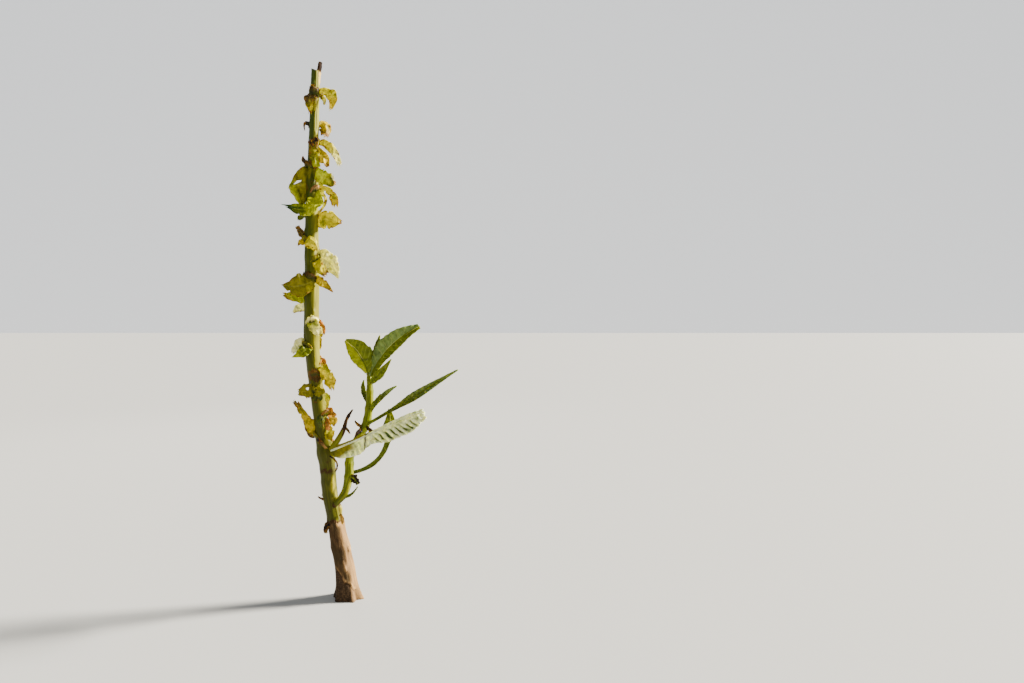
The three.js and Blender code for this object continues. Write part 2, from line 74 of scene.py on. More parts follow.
def hill(value, half, other=0.0, otherHalf=1.0):  # 1 at the middle, smoothly down to 0 away from it
    return math.exp(-(value / half) ** 2 - (other / otherHalf) ** 2)


def ragged(s, seed):  # uneven wave along an edge
    return 0.6 * math.sin(11 * s + 2.3 * seed) + 0.4 * math.sin(23 * s + 4.1 * seed)


def rough(x, y, z):  # smooth noise, about -1 to 1
    return noise.noise(Vector((x, y, z)))


def turnGap(turn, other):  # degrees between two compass turns
    return (turn - other + 180) % 360 - 180


def unit(vector):
    return vector / max(np.linalg.norm(vector), 1e-9)


# Colours, given as screen values
def screen(red, green, blue):
    shares = [v / 255 for v in (red, green, blue)]
    return tuple(v / 12.92 if v <= 0.04 else ((v + 0.055) / 1.055) ** 2.4 for v in shares) + (1.0,)


def blended(first, second, share):
    return np.array(first) * (1 - share) + np.array(second) * share


tints = {
    "yellow": (192, 178, 0),
    "gold": (184, 158, 0),
    "lime": (159, 163, 0),
    "straw": (243, 233, 140),
    "cream": (252, 246, 186),
    "olive": (121, 113, 0),
    "umber": (78, 56, 16),
    "brown": (104, 72, 14),
    "rust": (164, 104, 38),
    "tan": (162, 118, 66),
    "dark": (28, 18, 12),
    "leafGreen": (72, 84, 10),
    "freshGreen": (96, 106, 0),
    "blueGreen": (108, 128, 66),
    "paleGreen": (238, 242, 196),
    "deepGreen": (22, 56, 8),
    "stalkGreen": (60, 66, 0),
}
tints = {name: screen(*colour) for name, colour in tints.items()}


# Shader nodes
def addNode(tree, kind, links=None, **settings):
    made = tree.nodes.new(kind)
    for name, value in settings.items():
        setattr(made, name, value)
    for name, value in (links or {}).items():
        if isinstance(value, bpy.types.NodeSocket):
            tree.links.new(value, made.inputs[name])
        else:
            made.inputs[name].default_value = value
    return made


def mixed(tree, share, first, second, blend="MIX"):
    made = addNode(tree, "ShaderNodeMix", {0: share, 6: first, 7: second}, data_type="RGBA", blend_type=blend)
    return made.outputs[2]


def maths(tree, operation, *values):
    made = addNode(tree, "ShaderNodeMath", dict(enumerate(values)), operation=operation)
    return made.outputs[0]


def noisy(tree, place, scale, detail=4.0, roughness=0.55):
    made = addNode(tree, "ShaderNodeTexNoise", {"Vector": place, "Scale": scale, "Detail": detail})
    made.inputs["Roughness"].default_value = roughness
    return made.outputs["Fac"]


def ranged(tree, value, low, high, outLow=0.0, outHigh=1.0):
    made = addNode(tree, "ShaderNodeMapRange", {0: value, 1: low, 2: high, 3: outLow, 4: outHigh},
                   interpolation_type="SMOOTHSTEP")
    return made.outputs[0]


def ramp(tree, value, *stops):  # each stop is a place and a screen colour
    made = addNode(tree, "ShaderNodeValToRGB", {0: value})
    elements = made.color_ramp.elements
    for i, (place, *colour) in enumerate(stops):
        element = elements[i] if i < 2 else elements.new(place)
        element.position = place
        element.color = screen(*colour)
    return made.outputs[0]


def stretched(tree, place, x, y, z):
    return addNode(tree, "ShaderNodeMapping", {"Vector": place, "Scale": (x, y, z)}).outputs[0]


def attribute(tree, name, output="Fac"):
    return addNode(tree, "ShaderNodeAttribute", attribute_name=name).outputs[output]


def bumped(tree, height, strength, distance, before=None):
    made = addNode(tree, "ShaderNodeBump", {"Height": height, "Strength": strength, "Distance": distance})
    if before is not None:
        tree.links.new(before, made.inputs["Normal"])
    return made.outputs[0]


def newMaterial(name):
    material = bpy.data.materials.new(name)
    material.use_nodes = True
    tree = material.node_tree
    return material, tree, tree.nodes["Principled BSDF"]


# Meshes
def placed(name, data):
    made = bpy.data.objects.new(name, data)
    bpy.context.scene.collection.objects.link(made)
    return made


def pieceFrom(name, patches, material, replaced):
    # patches: dictionaries of points in mm, faces, and one value or colour per point under each other name
    points, faces, extras = [], [], {}
    kinds = {1: ("FLOAT", "value"), 3: ("FLOAT_VECTOR", "vector"), 4: ("FLOAT_COLOR", "color")}
    for patch in patches:
        start = sum(len(p) for p in points)
        points.append(np.asarray(patch["points"], float) * mm)
        faces += [[start + i for i in face] for face in patch["faces"]]
        for key, values in patch.items():
            if key not in ("points", "faces"):
                extras.setdefault(key, []).append(np.asarray(values, float))
    mesh = bpy.data.meshes.new(name)
    mesh.from_pydata(np.concatenate(points).tolist(), [], faces)
    for key, values in extras.items():
        joined = np.concatenate(values)
        kind, field = kinds[1 if joined.ndim == 1 else joined.shape[1]]
        mesh.attributes.new(key, kind, "POINT").data.foreach_set(field, joined.ravel())
    mesh.shade_smooth()
    mesh.update()
    mesh.materials.append(material)
    made = placed(name, mesh)
    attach(made, "root")
    if replaced:
        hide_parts(replaced)
    return made


def gridFaces(rows, columns, around=False):
    faces = []
    across = columns if around else columns - 1
    for k in range(rows - 1):
        for i in range(across):
            j = (i + 1) % columns
            faces.append((k * columns + i, k * columns + j, (k + 1) * columns + j, (k + 1) * columns + i))
    return faces


def tubeFaces(rows, sides):  # the wall of a tube, and a cap at each end
    last = (rows - 1) * sides
    caps = [[last + i for i in range(sides)], [i for i in reversed(range(sides))]]
    return gridFaces(rows, sides, around=True) + caps


def thickened(patch, thickness):
    # A closed body round an open sheet: both faces half the thickness off it, and a rim between them
    points, faces = np.asarray(patch["points"], float), patch["faces"]
    used = sorted({i for face in faces for i in face})
    renamed = {old: new for new, old in enumerate(used)}
    points = points[used]
    faces = [[renamed[i] for i in face] for face in faces]
    normals = np.zeros_like(points)
    edges = set()
    for face in faces:
        a, b, c, d = (points[i] for i in face)
        normal = np.cross(c - a, d - b)
        for k, i in enumerate(face):
            normals[i] += normal
            edges.add((i, face[(k + 1) % 4]))
    normals /= np.maximum(np.linalg.norm(normals, axis=1), 1e-9)[:, None]
    shift = normals * thickness / 2
    count = len(points)
    closed = faces + [[i + count for i in reversed(face)] for face in faces]
    closed += [(b, a, a + count, b + count) for a, b in sorted(edges) if (b, a) not in edges]
    result = {"points": np.concatenate([points + shift, points - shift]), "faces": closed}
    for key, values in patch.items():
        if key not in ("points", "faces"):
            kept = np.asarray(values, float)[used]
            result[key] = np.concatenate([kept, kept])
    return result

# Stem
stem = {
    "height": 1083, "splinterHeight": 1100, "sides": 96, "rings": 470,
    "lean": [(0, 0), (50, -3.5), (105, -14), (160, -24.5), (212, -35), (265, -39.5), (320, -46),
             (424, -58), (520, -66.5), (650, -66), (850, -63.8), (1100, -52.5)],
    "bow": [(0, 0), (260, 5), (560, -3), (860, 4), (1100, 0)],
    "radius": [(0, 23), (25, 22), (50, 20.4), (80, 18.8), (132, 17.2), (165, 15.8), (240, 15.4), (320, 15.6),
               (400, 13.9), (500, 14.3), (607, 14.9), (700, 13.7), (760, 13.3), (848, 11.4), (919, 9.9),
               (990, 9.1), (1100, 8.5)],
    "swellings": [(105, 1.6, 11), (160, 1.2, 9), (266, 0.9, 8), (300, 2.4, 14), (555, 0.9, 12),
                  (706, 0.8, 10)],
    "toes": [(-12, 8, 34), (-58, 3, 26), (-128, 1, 22), (172, 0, 24), (105, 3, 26), (48, 5, 30)],
    "toeSpan": 17,  # degrees either way
    "toeStart": 6.2,
    "knobs": [(186, -8, 22, 5.2), (103, -20, 14, 4.6), (68, -70, 20, 4.2), (214, 186, 7, 2.4)],
    "oldJoints": [(312, -20), (195, -20), (245, 165), (283, 100)],  # where leaves fell: height, turn
    "jointReach": (80, 40),  # how far the marks of a joint reach below and above it
    "barkTop": 160,  # the tan woody foot ends here in a ring
    "girdles": (268, 287),  # dark lines round the stem
    "paleSpot": (-42, 26, 196, 262),  # turn, half its span, foot and top
    "litPatch": (-58, 12, 158, 6),  # painted highlight: turn, half its span, height, half its rise
    "peel": [(68, -132), (56, -104), (41, -89), (34, -57), (20, -34)],  # lip of loose bark: height, turn
    "peelTop": 90,
    "soilTop": 32,
    "soilHeaps": [(-125, 45, 30), (-10, 38, -24)],  # turn, half its span, rise
    "brokenRim": 14,  # how far down the ragged top reaches
    "hollowSteps": 3,
}

# Torn leaf remains: a clasp at height and turn, and flaps measured from the stem's middle there
remains = [
    dict(height=1040, turn=-95, span=95, ledge=7, tall=13, tint="umber",
         wrap=(-112, 66, 50, "umber", "olive"), flaps=[
        dict(turn=-120, drop=3, mid=(-7, -15, -22), tip=(-6, -13, -47),
            left=(8, 11, 9, 2), right=(4, 11, 9, 2), facing=-100, tint="umber", tipTint="yellow"),
        dict(turn=-40, drop=1, mid=(35, -9, -10), tip=(33, -9, -38),
            wide=(5, 9, 11, 9, 3), facing=-80, crumple=0.5, browning=0.3, tint="yellow", tipTint="gold"),
        dict(turn=-15, drop=5, mid=(17, -1, -15), tip=(18, -1, -27),
            wide=(4, 5, 2), facing=-60, tint="olive"),
    ]),
    dict(height=978, turn=95, span=95, ledge=4, tint="dark", flaps=[
        dict(turn=158, drop=5, mid=(-20, 6, 0), tip=(-20, 3, -14),
            wide=(5, 4, 3, 1), facing=-110, tint="dark"),
        dict(turn=25, drop=4, mid=(20, 4, -5), tip=(20, 2, -28),
            wide=(5, 10, 13, 7), facing=-70, cup=-0.55, curl=0.9, tint="gold", tipTint="brown",
            tipFrom=0.6, tipAt=0.95, rim="umber", browning=1.0),
    ]),
    dict(height=940, turn=-50, span=70, tint="brown", wrap=(-60, 44, 58, "olive", "olive"), flaps=[
        dict(turn=-35, drop=0, mid=(36, -9, -14), tip=(55, -9, -49),
            wide=(5, 8, 8, 8, 4), facing=-80, tint="yellow", tipTint="straw"),
        dict(turn=-75, drop=2, mid=(5, -15, -28), tip=(11, -14, -56),
            wide=(7, 9, 10, 6), facing=-80, cup=-0.25, tint="olive", tipTint="lime"),
        dict(turn=-25, drop=10, mid=(20, -9, -30), tip=(31, -8, -52),
            wide=(4, 7, 11, 3), facing=-75, endTear=0.02, tint="gold", tipTint="brown", tipFrom=0.7, tipAt=1),
    ]),
    dict(height=893, turn=-125, span=85, ledge=8, tint="brown",
         wrap=(-88, 62, 62, "olive", "stalkGreen"), flaps=[
        dict(turn=-160, drop=40, mid=(-28, -11, -41), tip=(-46, -12, -48),
            left=(38, 45, 47, 45, 26), right=(43, 34, 22, 10, 2), torn=0.05, seed=4, curl=0, notches=1,
            holes=[(0.22, 0.5, 2.5, 9), (-0.32, 0.42, 3.5, 2)], tint="olive", tipTint="lime"),
        dict(turn=-55, drop=10, mid=(28, -13, -29), tip=(46, -10, -32),
            wide=(8, 14, 14, 10), facing=-85, seed=2, tint="lime", tipTint="olive"),
    ]),
    dict(height=846, turn=-35, span=60, tint="tan", flaps=[
        dict(turn=-35, drop=6, mid=(2, -19, -42), tip=(-46, -16, -40),
            wide=(9, 15, 13, 12, 1), cup=0.12, seed=5, frill=3.0, quilt=1.0, veins=6, browning=0.1,
            tint="lime", tipTint="deepGreen", tipFrom=0.55, tipAt=0.95),
        dict(turn=-8, drop=0, mid=(36, -5, -7), tip=(47, -5, -37),
            wide=(4, 5, 7, 9, 6), facing=-80, seed=7, tint="yellow", tipTint="gold"),
        dict(turn=-15, drop=4, mid=(29, -8, -24), tip=(14, -13, -52),
            wide=(3.5, 3, 3, 2), facing=-60, tint="yellow"),
    ]),
    dict(height=798, turn=88, span=100, ledge=5, tint="tan", flaps=[
        dict(turn=-5, drop=16, mid=(34, -5, -17), tip=(60, -5, -21),
            wide=(12, 18, 18, 14, 3), facing=-95, seed=3, quilt=0.7, veins=5, tint="yellow", tipTint="brown",
            tipFrom=0.88, tipAt=0.99),
        dict(turn=172, drop=4, mid=(-22, 5, -7), tip=(-28, 4, -16),
            wide=(4, 6, 6, 3), facing=-85, seed=2, tint="leafGreen"),
    ]),
    dict(height=745, turn=-165, span=75, tint="olive", flaps=[
        dict(turn=-175, drop=2, mid=(-21, -2, 10), tip=(-29, -2, 24),
            wide=(8, 7, 6, 4), facing=-80, tint="umber"),
        dict(turn=-170, drop=9, mid=(-20, -5, -9), tip=(-27, -4, -16),
            wide=(5, 7, 5, 1), seed=6, tint="gold"),
        dict(turn=-150, drop=2, mid=(1, -20, -9), tip=(14, -18, -27),
            wide=(6, 9, 12, 11, 4), facing=-85, cup=-0.25, tint="yellow"),
    ]),
    dict(height=706, turn=-15, span=70, tint="olive", flaps=[
        dict(turn=-10, drop=3, mid=(34, -7, -8), tip=(56, -8, -40),
            wide=(12, 18, 19, 14, 5), facing=-85, cup=-0.15, seed=8, quilt=1.2, veins=5, tint="lime",
            tipTint="straw", tipFrom=-0.1, tipAt=0.25, browning=0.2, ribbed=0.5),
        dict(turn=-40, drop=2, mid=(19, -16, -20), tip=(34, -16, -36),
            wide=(7, 9, 10, 7), facing=-80, seed=3, tint="yellow", tipTint="brown", tipFrom=0.65, tipAt=1),
    ]),
    dict(height=668, turn=-105, span=80, ledge=7, tall=11, tint="umber", flaps=[
        dict(turn=-72, drop=12, depth=1.25, mid=(-20, -25, -22), tip=(-52, -19, -20),
            left=(11, 20, 22, 15, 3), right=(14, 25, 24, 15, 3), facing=-95, torn=0.08, seed=6, crease=2.5,
            tint="olive"),
        dict(turn=-45, drop=4, mid=(29, -15, -17), tip=(46, -14, -34),
            wide=(7, 9, 6, 1), facing=-75, seed=4, endTear=0.02, tint="gold", tipTint="brown"),
    ]),
    dict(height=625, turn=140, span=85, ledge=5, tint="lime", flaps=[
        dict(turn=165, drop=2, mid=(-36, 7, 0), tip=(-60, 6, 5),
            wide=(9, 11, 10, 8, 3), seed=5, tint="lime", tipTint="olive"),
        dict(turn=170, drop=16, mid=(-28, 9, -22), tip=(-40, 9, -32),
            wide=(6, 9, 8, 2), facing=-100, seed=9, tint="cream", tipTint="straw"),
    ]),
    dict(height=580, turn=-60, span=65, tint="straw", flaps=[
        dict(turn=-75, drop=2, mid=(11, -19, -15), tip=(22, -18, -31),
            wide=(8, 11, 11, 6), facing=-85, cup=0.25, seed=2, quilt=0.6, veins=5, tint="lime",
            tipTint="straw", tipFrom=0.1, tipAt=0.9, crease=3, browning=0.2),
        dict(turn=-20, drop=0, mid=(23, -8, -13), tip=(27, -8, -32),
            wide=(3, 5, 5, 2), facing=-70, seed=5, tint="rust"),
    ]),
    dict(height=530, turn=-150, span=80, tint="olive", flaps=[
        dict(turn=-170, drop=0, mid=(-25, -8, -6), tip=(-37, -9, -19),
            wide=(12, 15, 10, 3), facing=-100, seed=7, browning=0.1, tint="cream", tipTint="cream"),
        dict(turn=-110, drop=4, mid=(-12, -21, -16), tip=(-32, -18, -26),
            wide=(9, 12, 9, 1), facing=-90, seed=3, browning=0.1, tint="freshGreen", tipTint="lime"),
    ]),
    dict(height=497, turn=60, span=85, ledge=5, tint="rust", flaps=[
        dict(turn=20, drop=0, mid=(20, 4, -3), tip=(22, 4, -13),
            wide=(3, 5, 3), facing=-70, tint="rust"),
        dict(turn=95, drop=4, mid=(2, 26, -14), tip=(8, 30, -40),
            wide=(6, 11, 9, 2), facing=90, seed=4, tint="yellow", tipTint="gold"),
    ]),
    dict(height=472, turn=-70, span=60, ledge=3, tall=9, tint="brown",
         wrap=(-78, 50, 28, "brown", "umber"), flaps=[
        dict(turn=-35, drop=4, mid=(28, -13, -6), tip=(39, -11, -34),
            wide=(10, 16, 16, 11, 5), facing=-80, torn=0.3, seed=2, frill=3.0, tint="yellow", tipTint="gold"),
        dict(turn=-15, drop=8, mid=(30, -4, -14), tip=(43, -4, -22),
            wide=(4, 6, 5, 2), facing=-65, seed=6, tint="straw", tipTint="brown"),
    ]),
    dict(height=437, turn=-105, span=60, ledge=5, tint="olive",
         wrap=(-85, 60, 32, "olive", "stalkGreen"), flaps=[
        dict(turn=-115, drop=2, mid=(-13, -20, -3), tip=(-33, -17, -6),
            wide=(13, 15, 15, 12, 6), facing=-95, seed=3, holes=[(0.3, 0.45, 3, 4.5)], tint="olive"),
        dict(turn=-70, drop=2, mid=(9, -19, -4), tip=(21, -15, -4),
            wide=(9, 10, 9, 4), facing=-80, seed=6, tint="olive"),
    ]),
    dict(height=390, turn=0, span=75, tint="brown", flaps=[
        dict(turn=5, drop=0, mid=(25, -2, -7), tip=(27, -4, -31),
            wide=(5, 9, 9, 6), facing=-75, torn=0.3, seed=5, tint="rust", tipTint="gold"),
        dict(turn=-55, drop=2, mid=(7, -17, -16), tip=(8, -16, -32),
            wide=(6, 7, 4), facing=-65, cup=-0.2, tint="leafGreen"),
        dict(turn=-25, drop=34, mid=(21, -11, -43), tip=(27, -9, -59),
            wide=(8, 12, 10, 3), facing=-80, torn=0.3, seed=8, tint="yellow", tipTint="gold"),
        dict(turn=-20, drop=18, mid=(18, -8, -22), tip=(19, -8, -42),
            wide=(4, 5, 4), facing=-70, seed=2, tint="rust"),
    ]),
    dict(height=345, turn=-170, span=75, tint="olive", flaps=[
        dict(turn=-150, drop=0, mid=(-28, -11, 28), tip=(-52, -9, 66),
            wide=(14, 12, 9, 7, 5), facing=-80, seed=4, tint="gold", tipTint="umber", tipFrom=0.7, tipAt=1.0),
        dict(turn=175, drop=6, mid=(-26, 2, 2), tip=(-35, 3, 20),
            wide=(6, 9, 8, 3), facing=-95, seed=7, tint="umber"),
    ]),
    dict(height=870, turn=105, span=75, ledge=5, tint="lime", flaps=[
        dict(turn=80, drop=4, mid=(6, 26, -16), tip=(10, 26, -46),
            wide=(6, 11, 10, 7, 1), facing=85, seed=2, tint="lime"),
        dict(turn=130, drop=4, mid=(-9, 22, -12), tip=(-12, 20, -32),
            wide=(5, 8, 7, 2), facing=120, seed=8, tint="yellow"),
    ]),
    dict(height=725, turn=88, span=75, ledge=6, tint="olive", flaps=[
        dict(turn=55, drop=3, mid=(12, 26, -12), tip=(17, 36, -38),
            wide=(6, 12, 12, 8, 2), facing=70, seed=2, tint="olive", tipTint="yellow"),
        dict(turn=115, drop=5, mid=(-8, 28, -10), tip=(-11, 40, -32),
            wide=(6, 10, 9, 3), facing=100, seed=8, tint="yellow"),
    ]),
    dict(height=562, turn=105, span=75, ledge=6, tint="olive", flaps=[
        dict(turn=76, drop=4, mid=(5, 29, -15), tip=(8, 32, -45),
            wide=(7, 12, 10, 6, 2), facing=85, seed=9, tint="yellow", tipTint="gold"),
        dict(turn=138, drop=3, mid=(-12, 26, -4), tip=(-14, 38, -22),
            wide=(5, 8, 7, 2), facing=110, seed=4, tint="gold", tipTint="brown"),
    ]),
    dict(height=430, turn=80, span=75, ledge=6, tint="olive", flaps=[
        dict(turn=60, drop=4, mid=(10, 25, -14), tip=(12, 30, -40),
            wide=(6, 11, 9, 2), facing=80, seed=6, tint="lime", tipTint="yellow"),
        dict(turn=110, drop=4, mid=(-7, 30, -6), tip=(-10, 44, -26),
            wide=(6, 10, 9, 3), facing=100, seed=2, tint="olive"),
    ]),
    dict(height=332, turn=95, span=75, ledge=7, tint="brown", flaps=[
        dict(turn=80, drop=6, mid=(4, 28, -12), tip=(8, 31, -38),
            wide=(7, 11, 9, 2), facing=90, seed=3, tint="rust", tipTint="brown"),
    ]),
]

# Leaves of the side shoot, from root through mid to tip
shootLeaves = [
    dict(name="shoot_leaf_left", root=(47, -3, 470), mid=(31, -12, 508), tip=(5, -15, 536),
         left=(6, 15, 19, 15, 3), right=(6, 20, 28, 23, 4), facing=-95, tilt=12, fold=22, torn=0.05,
         tint="freshGreen", tipTint="freshGreen", leftTint="lime"),
    dict(name="shoot_leaf_centre", root=(50, 4, 462), mid=(61, 10, 508), tip=(70, 8, 546),
         wide=(4, 7, 8, 6, 1), facing=-100, fold=20, tint="leafGreen", tipTint="freshGreen"),
    dict(name="shoot_leaf_centre_right", root=(53, 3, 458), mid=(73, 12, 500), tip=(96, 12, 536),
         wide=(4, 8, 9, 6, 1), facing=-80, fold=22, tint="leafGreen", tipTint="freshGreen"),
    dict(name="shoot_leaf_right", root=(53, -3, 462), mid=(93, -8, 521), tip=(153, -8, 566),
         left=(5, 13, 23, 24, 17, 6), right=(5, 10, 14, 15, 12, 5), facing=-95, tilt=10, fold=15, torn=0.05,
         tint="freshGreen", tipTint="freshGreen", leftTint="blueGreen"),
    dict(name="shoot_leaf_low_right", root=(52, -5, 448), mid=(75, -14, 470), tip=(98, -17, 499),
         wide=(4, 8, 9, 6, 1), facing=-80, fold=25, tint="freshGreen"),
    dict(name="shoot_leaf_back_left", root=(46, 6, 404), mid=(35, 12, 430), tip=(34, 14, 453),
         wide=(3, 5, 5, 1), facing=-100, fold=15, tint="leafGreen"),
    dict(name="shoot_leaf_back", root=(50, 6, 448), mid=(48, 26, 486), tip=(40, 52, 520),
         wide=(4, 10, 13, 9, 1), facing=-90, tilt=30, fold=20, tint="leafGreen", tipTint="blueGreen"),
    dict(name="shoot_leaf_slim", root=(49, -2, 384), mid=(73, -4, 418), tip=(107, -4, 443),
         wide=(2.5, 4, 5, 5, 1), facing=-85, fold=20, tint="leafGreen", tipTint="blueGreen"),
    dict(name="shoot_leaf_small", root=(50, -5, 396), mid=(64, -10, 409), tip=(74, -12, 427),
         wide=(2, 5, 5, 1), facing=-85, fold=20, tint="freshGreen"),
    dict(name="shoot_leaf_long", root=(43, -5, 362), mid=(130, -16, 414), tip=(231, -18, 478),
         wide=(3, 3.5, 4, 6, 9.5, 8, 5, 1.5), facing=-85, tilt=15, fold=20, torn=0.06,
         tint="leafGreen", tipTint="blueGreen"),
    # The pale leaf's olive root end, lasting longer along its upper edge, is painted shade, and so are its
    # dark crease marks and the dark line across its tear
    dict(name="pale_leaf", root=(-30, -11, 309), mid=(60, -40, 350), tip=(164, -46, 398),
         left=(6, 6, 5, 5, 6, 9, 7), right=(9, 25, 31, 23, 28, 30, 17), facing=-85, tilt=25, torn=0.1, seed=3,
         tint="olive", tipTint="paleGreen", tipFrom=0.28, tipAt=0.42, tipSlant=0.2, quilt=1.6, quiltFrom=0.4,
         veins=20, crumple=1.2, curl=-0.3, rows=150, ribTint="paleGreen", ribbed=0.5,
         paintedCreaseShade=dict(start=0.44, stop=0.97, tear=0.44, tint="deepGreen")),
    dict(name="lower_leaf", root=(10, 0, 262), mid=(73, 15, 300), tip=(88, 17, 392),
         wide=(4, 4.5, 5, 5.5, 7, 14, 3), facing=-85, fold=18, torn=0.1, seed=2,
         tint="leafGreen", tipTint="freshGreen"),
    dict(name="foot_leaf", root=(-8, -7, 213), mid=(10, -11, 218), tip=(27, -12, 236),
         wide=(3.2, 3, 2.4, 1), facing=-100, tilt=20, tint="leafGreen"),
    dict(name="withered_leaf", root=(10, -12, 258), mid=(20, -17, 253), tip=(29, -17, 242),
         wide=(4, 7, 8, 3), facing=-80, torn=0.35, seed=4, tint="dark"),
]


def stemMiddle(z):
    return np.array((along(stem["lean"], z), along(stem["bow"], z), z))


def stemRadius(z):
    bulge = sum(extra * hill(z - at, half) for at, extra, half in stem["swellings"])
    return along(stem["radius"], z) + bulge


def onStem(z, turn, depth=1.0, extra=0.0):
    r = stemRadius(z) * depth + extra
    angle = math.radians(turn)
    return stemMiddle(z) + np.array((r * math.cos(angle), r * math.sin(angle), 0))


def rootFlare(z, turn):
    flare = 0.0
    for at, reach, height in stem["toes"]:
        rise = max(1 - z / (height * 1.25), 0) ** 1.7
        flare += (0.9 * reach + stem["toeStart"]) * rise * hill(turnGap(turn, at), stem["toeSpan"])
    return flare


def knobPlace(z, turn, r, knob):  # place across and along from a knob's middle, 1 near its edge
    at, face, length, radius = knob
    return math.radians(turnGap(turn, face)) * r / (radius * 0.95), (z - at) / (length * 0.42)


def oldScars(z, turn, r):
    rise = 0.0
    for knob in stem["knobs"]:
        aside, upward = knobPlace(z, turn, r, knob)
        rise += 0.95 * knob[-1] * hill(aside, 1, upward)
    return rise


def scarRims(z, turn, r):
    return sum(hill(math.hypot(*knobPlace(z, turn, r, knob)) - 1.1, 0.3) for knob in stem["knobs"])


def peelRise(z, turn, r):
    # Nearness to the lip of loose bark in mm, below zero under it
    best, above = 1e9, 0.0
    for (z0, turn0), (z1, turn1) in zip(stem["peel"], stem["peel"][1:]):
        run, rise = math.radians(turnGap(turn1, turn0)) * r, z1 - z0
        x, y = math.radians(turnGap(turn, turn0)) * r, z - z0
        share = min(max((x * run + y * rise) / (run * run + rise * rise), 0), 1)
        gap = math.hypot(x - share * run, y - share * rise)
        if gap < best:
            best, above = gap, y - share * rise
    return math.copysign(best, above)


def soilTop(turn):
    return stem["soilTop"] + sum(rise * hill(turnGap(turn, at), half) for at, half, rise in stem["soilHeaps"])


jointLook = {
    "ring": 0.9, "ringHalf": 9,
    "ridge": 0.55, "ridgeHalf": 7, "ridgeTurn": 26, "ridgeFrom": 75, "ridgeTo": 12,
    "bud": 1.7, "budWide": 3.4, "budTall": 4.5, "budAbove": 15,
}


def leafJoints(z, turn, joints):
    look, rise = jointLook, 0.0
    for at, face in joints:
        gap = turnGap(turn, face)
        rise += look["ring"] * hill(z - at + 3, look["ringHalf"]) * (0.5 + 0.5 * math.cos(math.radians(gap)))
        if abs(gap) < 50 and z < at:  # two ridges run down from each old leaf
            pair = sum(hill(gap - side * look["ridgeTurn"], look["ridgeHalf"]) for side in (1, -1))
            rise += look["ridge"] * ease(z, at - look["ridgeFrom"], at - look["ridgeTo"]) * pair
        if abs(gap) < 60:  # the sleeping bud above it
            aside = math.radians(gap) * 13
            rise += look["bud"] * hill(aside, look["budWide"], z - at - look["budAbove"], look["budTall"])
    return rise


def skinRelief(z, a, bark):
    # Ribs of the green stem, and grooves and flakes of the bark, in mm
    x, y = math.cos(a), math.sin(a)
    ribs = 0.22 * math.sin(7 * a + 0.004 * z) + 0.14 * math.sin(12 * a - 0.011 * z + 1)
    waves = 0.5 * rough(1.6 * x, 1.6 * y, z / 60) + 0.22 * rough(4 * x, 4 * y, z / 18)
    grooves = 0.7 * rough(2.2 * x, 2.2 * y, z / 30) + 0.35 * rough(6 * x, 6 * y, z / 26)
    grooves += 0.3 * rough(14 * x, 14 * y, z / 12)
    flakes = 0.3 * abs(rough(9 * x, 9 * y, z / 7)) + 0.5 * bark
    deeper = 1 + 0.8 * ease(-z, -45, -8)  # toward the ground
    return (1 - bark) * ribs + waves + bark * (grooves + flakes) * deeper


def scarRings(z, turn, r, near, edge, lip):
    # Dark marks: two girdles, the bark's top, rims of the knobs, painted shade under the loose lip, lines at
    # old leaves
    a = math.radians(turn)
    x, y = math.cos(a), math.sin(a)
    low, high = stem["girdles"]
    wander = 4 * rough(2.5 * x, 2.5 * y, 2) + 2.5 * rough(8 * x, 8 * y, z / 9)
    uneven = 0.75 + 0.9 * rough(4 * x, 4 * y, z / 7)
    ring = hill(z - low - 2 * x + wander, 6.5) * (0.5 - 0.4 * y) * uneven
    ring += 1.3 * hill(z - edge - 1, 3.6) * (0.7 - 0.5 * x - 0.2 * y)
    ring += 0.5 * scarRims(z, turn, r) * (0.9 + 0.8 * rough(7 * x, 7 * y, z / 5))
    # painted shade: a dark line just under the loose bark lip
    ring += 0.8 * hill(lip + 2.2, 1.2)
    ring += 0.45 * hill(z - high + wander, 8) * ease(-y, 0.1, 0.9) * ease(x, -0.5, 0.5)
    for at, face in near:
        gap = turnGap(turn, face)
        line = hill(z - at + 12 * (gap / 80) ** 2, 4)
        ring += 0.5 * line * (abs(gap) < 85) * (0.7 + 0.8 * rough(4 * x, 4 * y, at))
    return ring


def bleachAndPaintedLight(z, turn, r, bark, flap):
    # Paler places: bleached under the shoot, at the loose lip and on the knobs; a painted highlight at the
    # bark's top; and painted sunlight down the sunny side of the stem and bark, weaker low on the green stem
    # as painted shade
    a = math.radians(turn)
    x, y = math.cos(a), math.sin(a)
    face, half, foot, top = stem["paleSpot"]
    spot = hill(turnGap(turn, face), half) * ease(z, foot, foot + 26) * (1 - ease(z, top - 16, top))
    spot *= 0.5 * ease(rough(2 * x, 2 * y, z / 14), -0.3, 0.25)
    # painted highlight: a small sunlit patch at the bark's top
    face, half, height, rise = stem["litPatch"]
    lit = hill(turnGap(turn, face), half, z - height, rise)
    knob = oldScars(z, turn, r) / 10
    # painted sunlight: paler on the side facing the sun lamp, held back below 300 to 400 mm on the green stem
    # as painted shade
    aside = math.cos(a - 0.1)
    paintedSunlight = (0.3 + 0.14 * ease(z, 700, 1000)) * (0.2 + 0.8 * ease(z, 300, 400)) * ease(aside, -0.15, 0.85)
    paintedSunlight = paintedSunlight * (1 - bark) + 0.34 * bark * ease(aside, 0.3, 0.75)
    paintedSunlight *= 0.85 + 0.5 * rough(3 * x, 3 * y, z / 25)
    return min(spot + lit + 0.35 * flap + knob + paintedSunlight, 1)


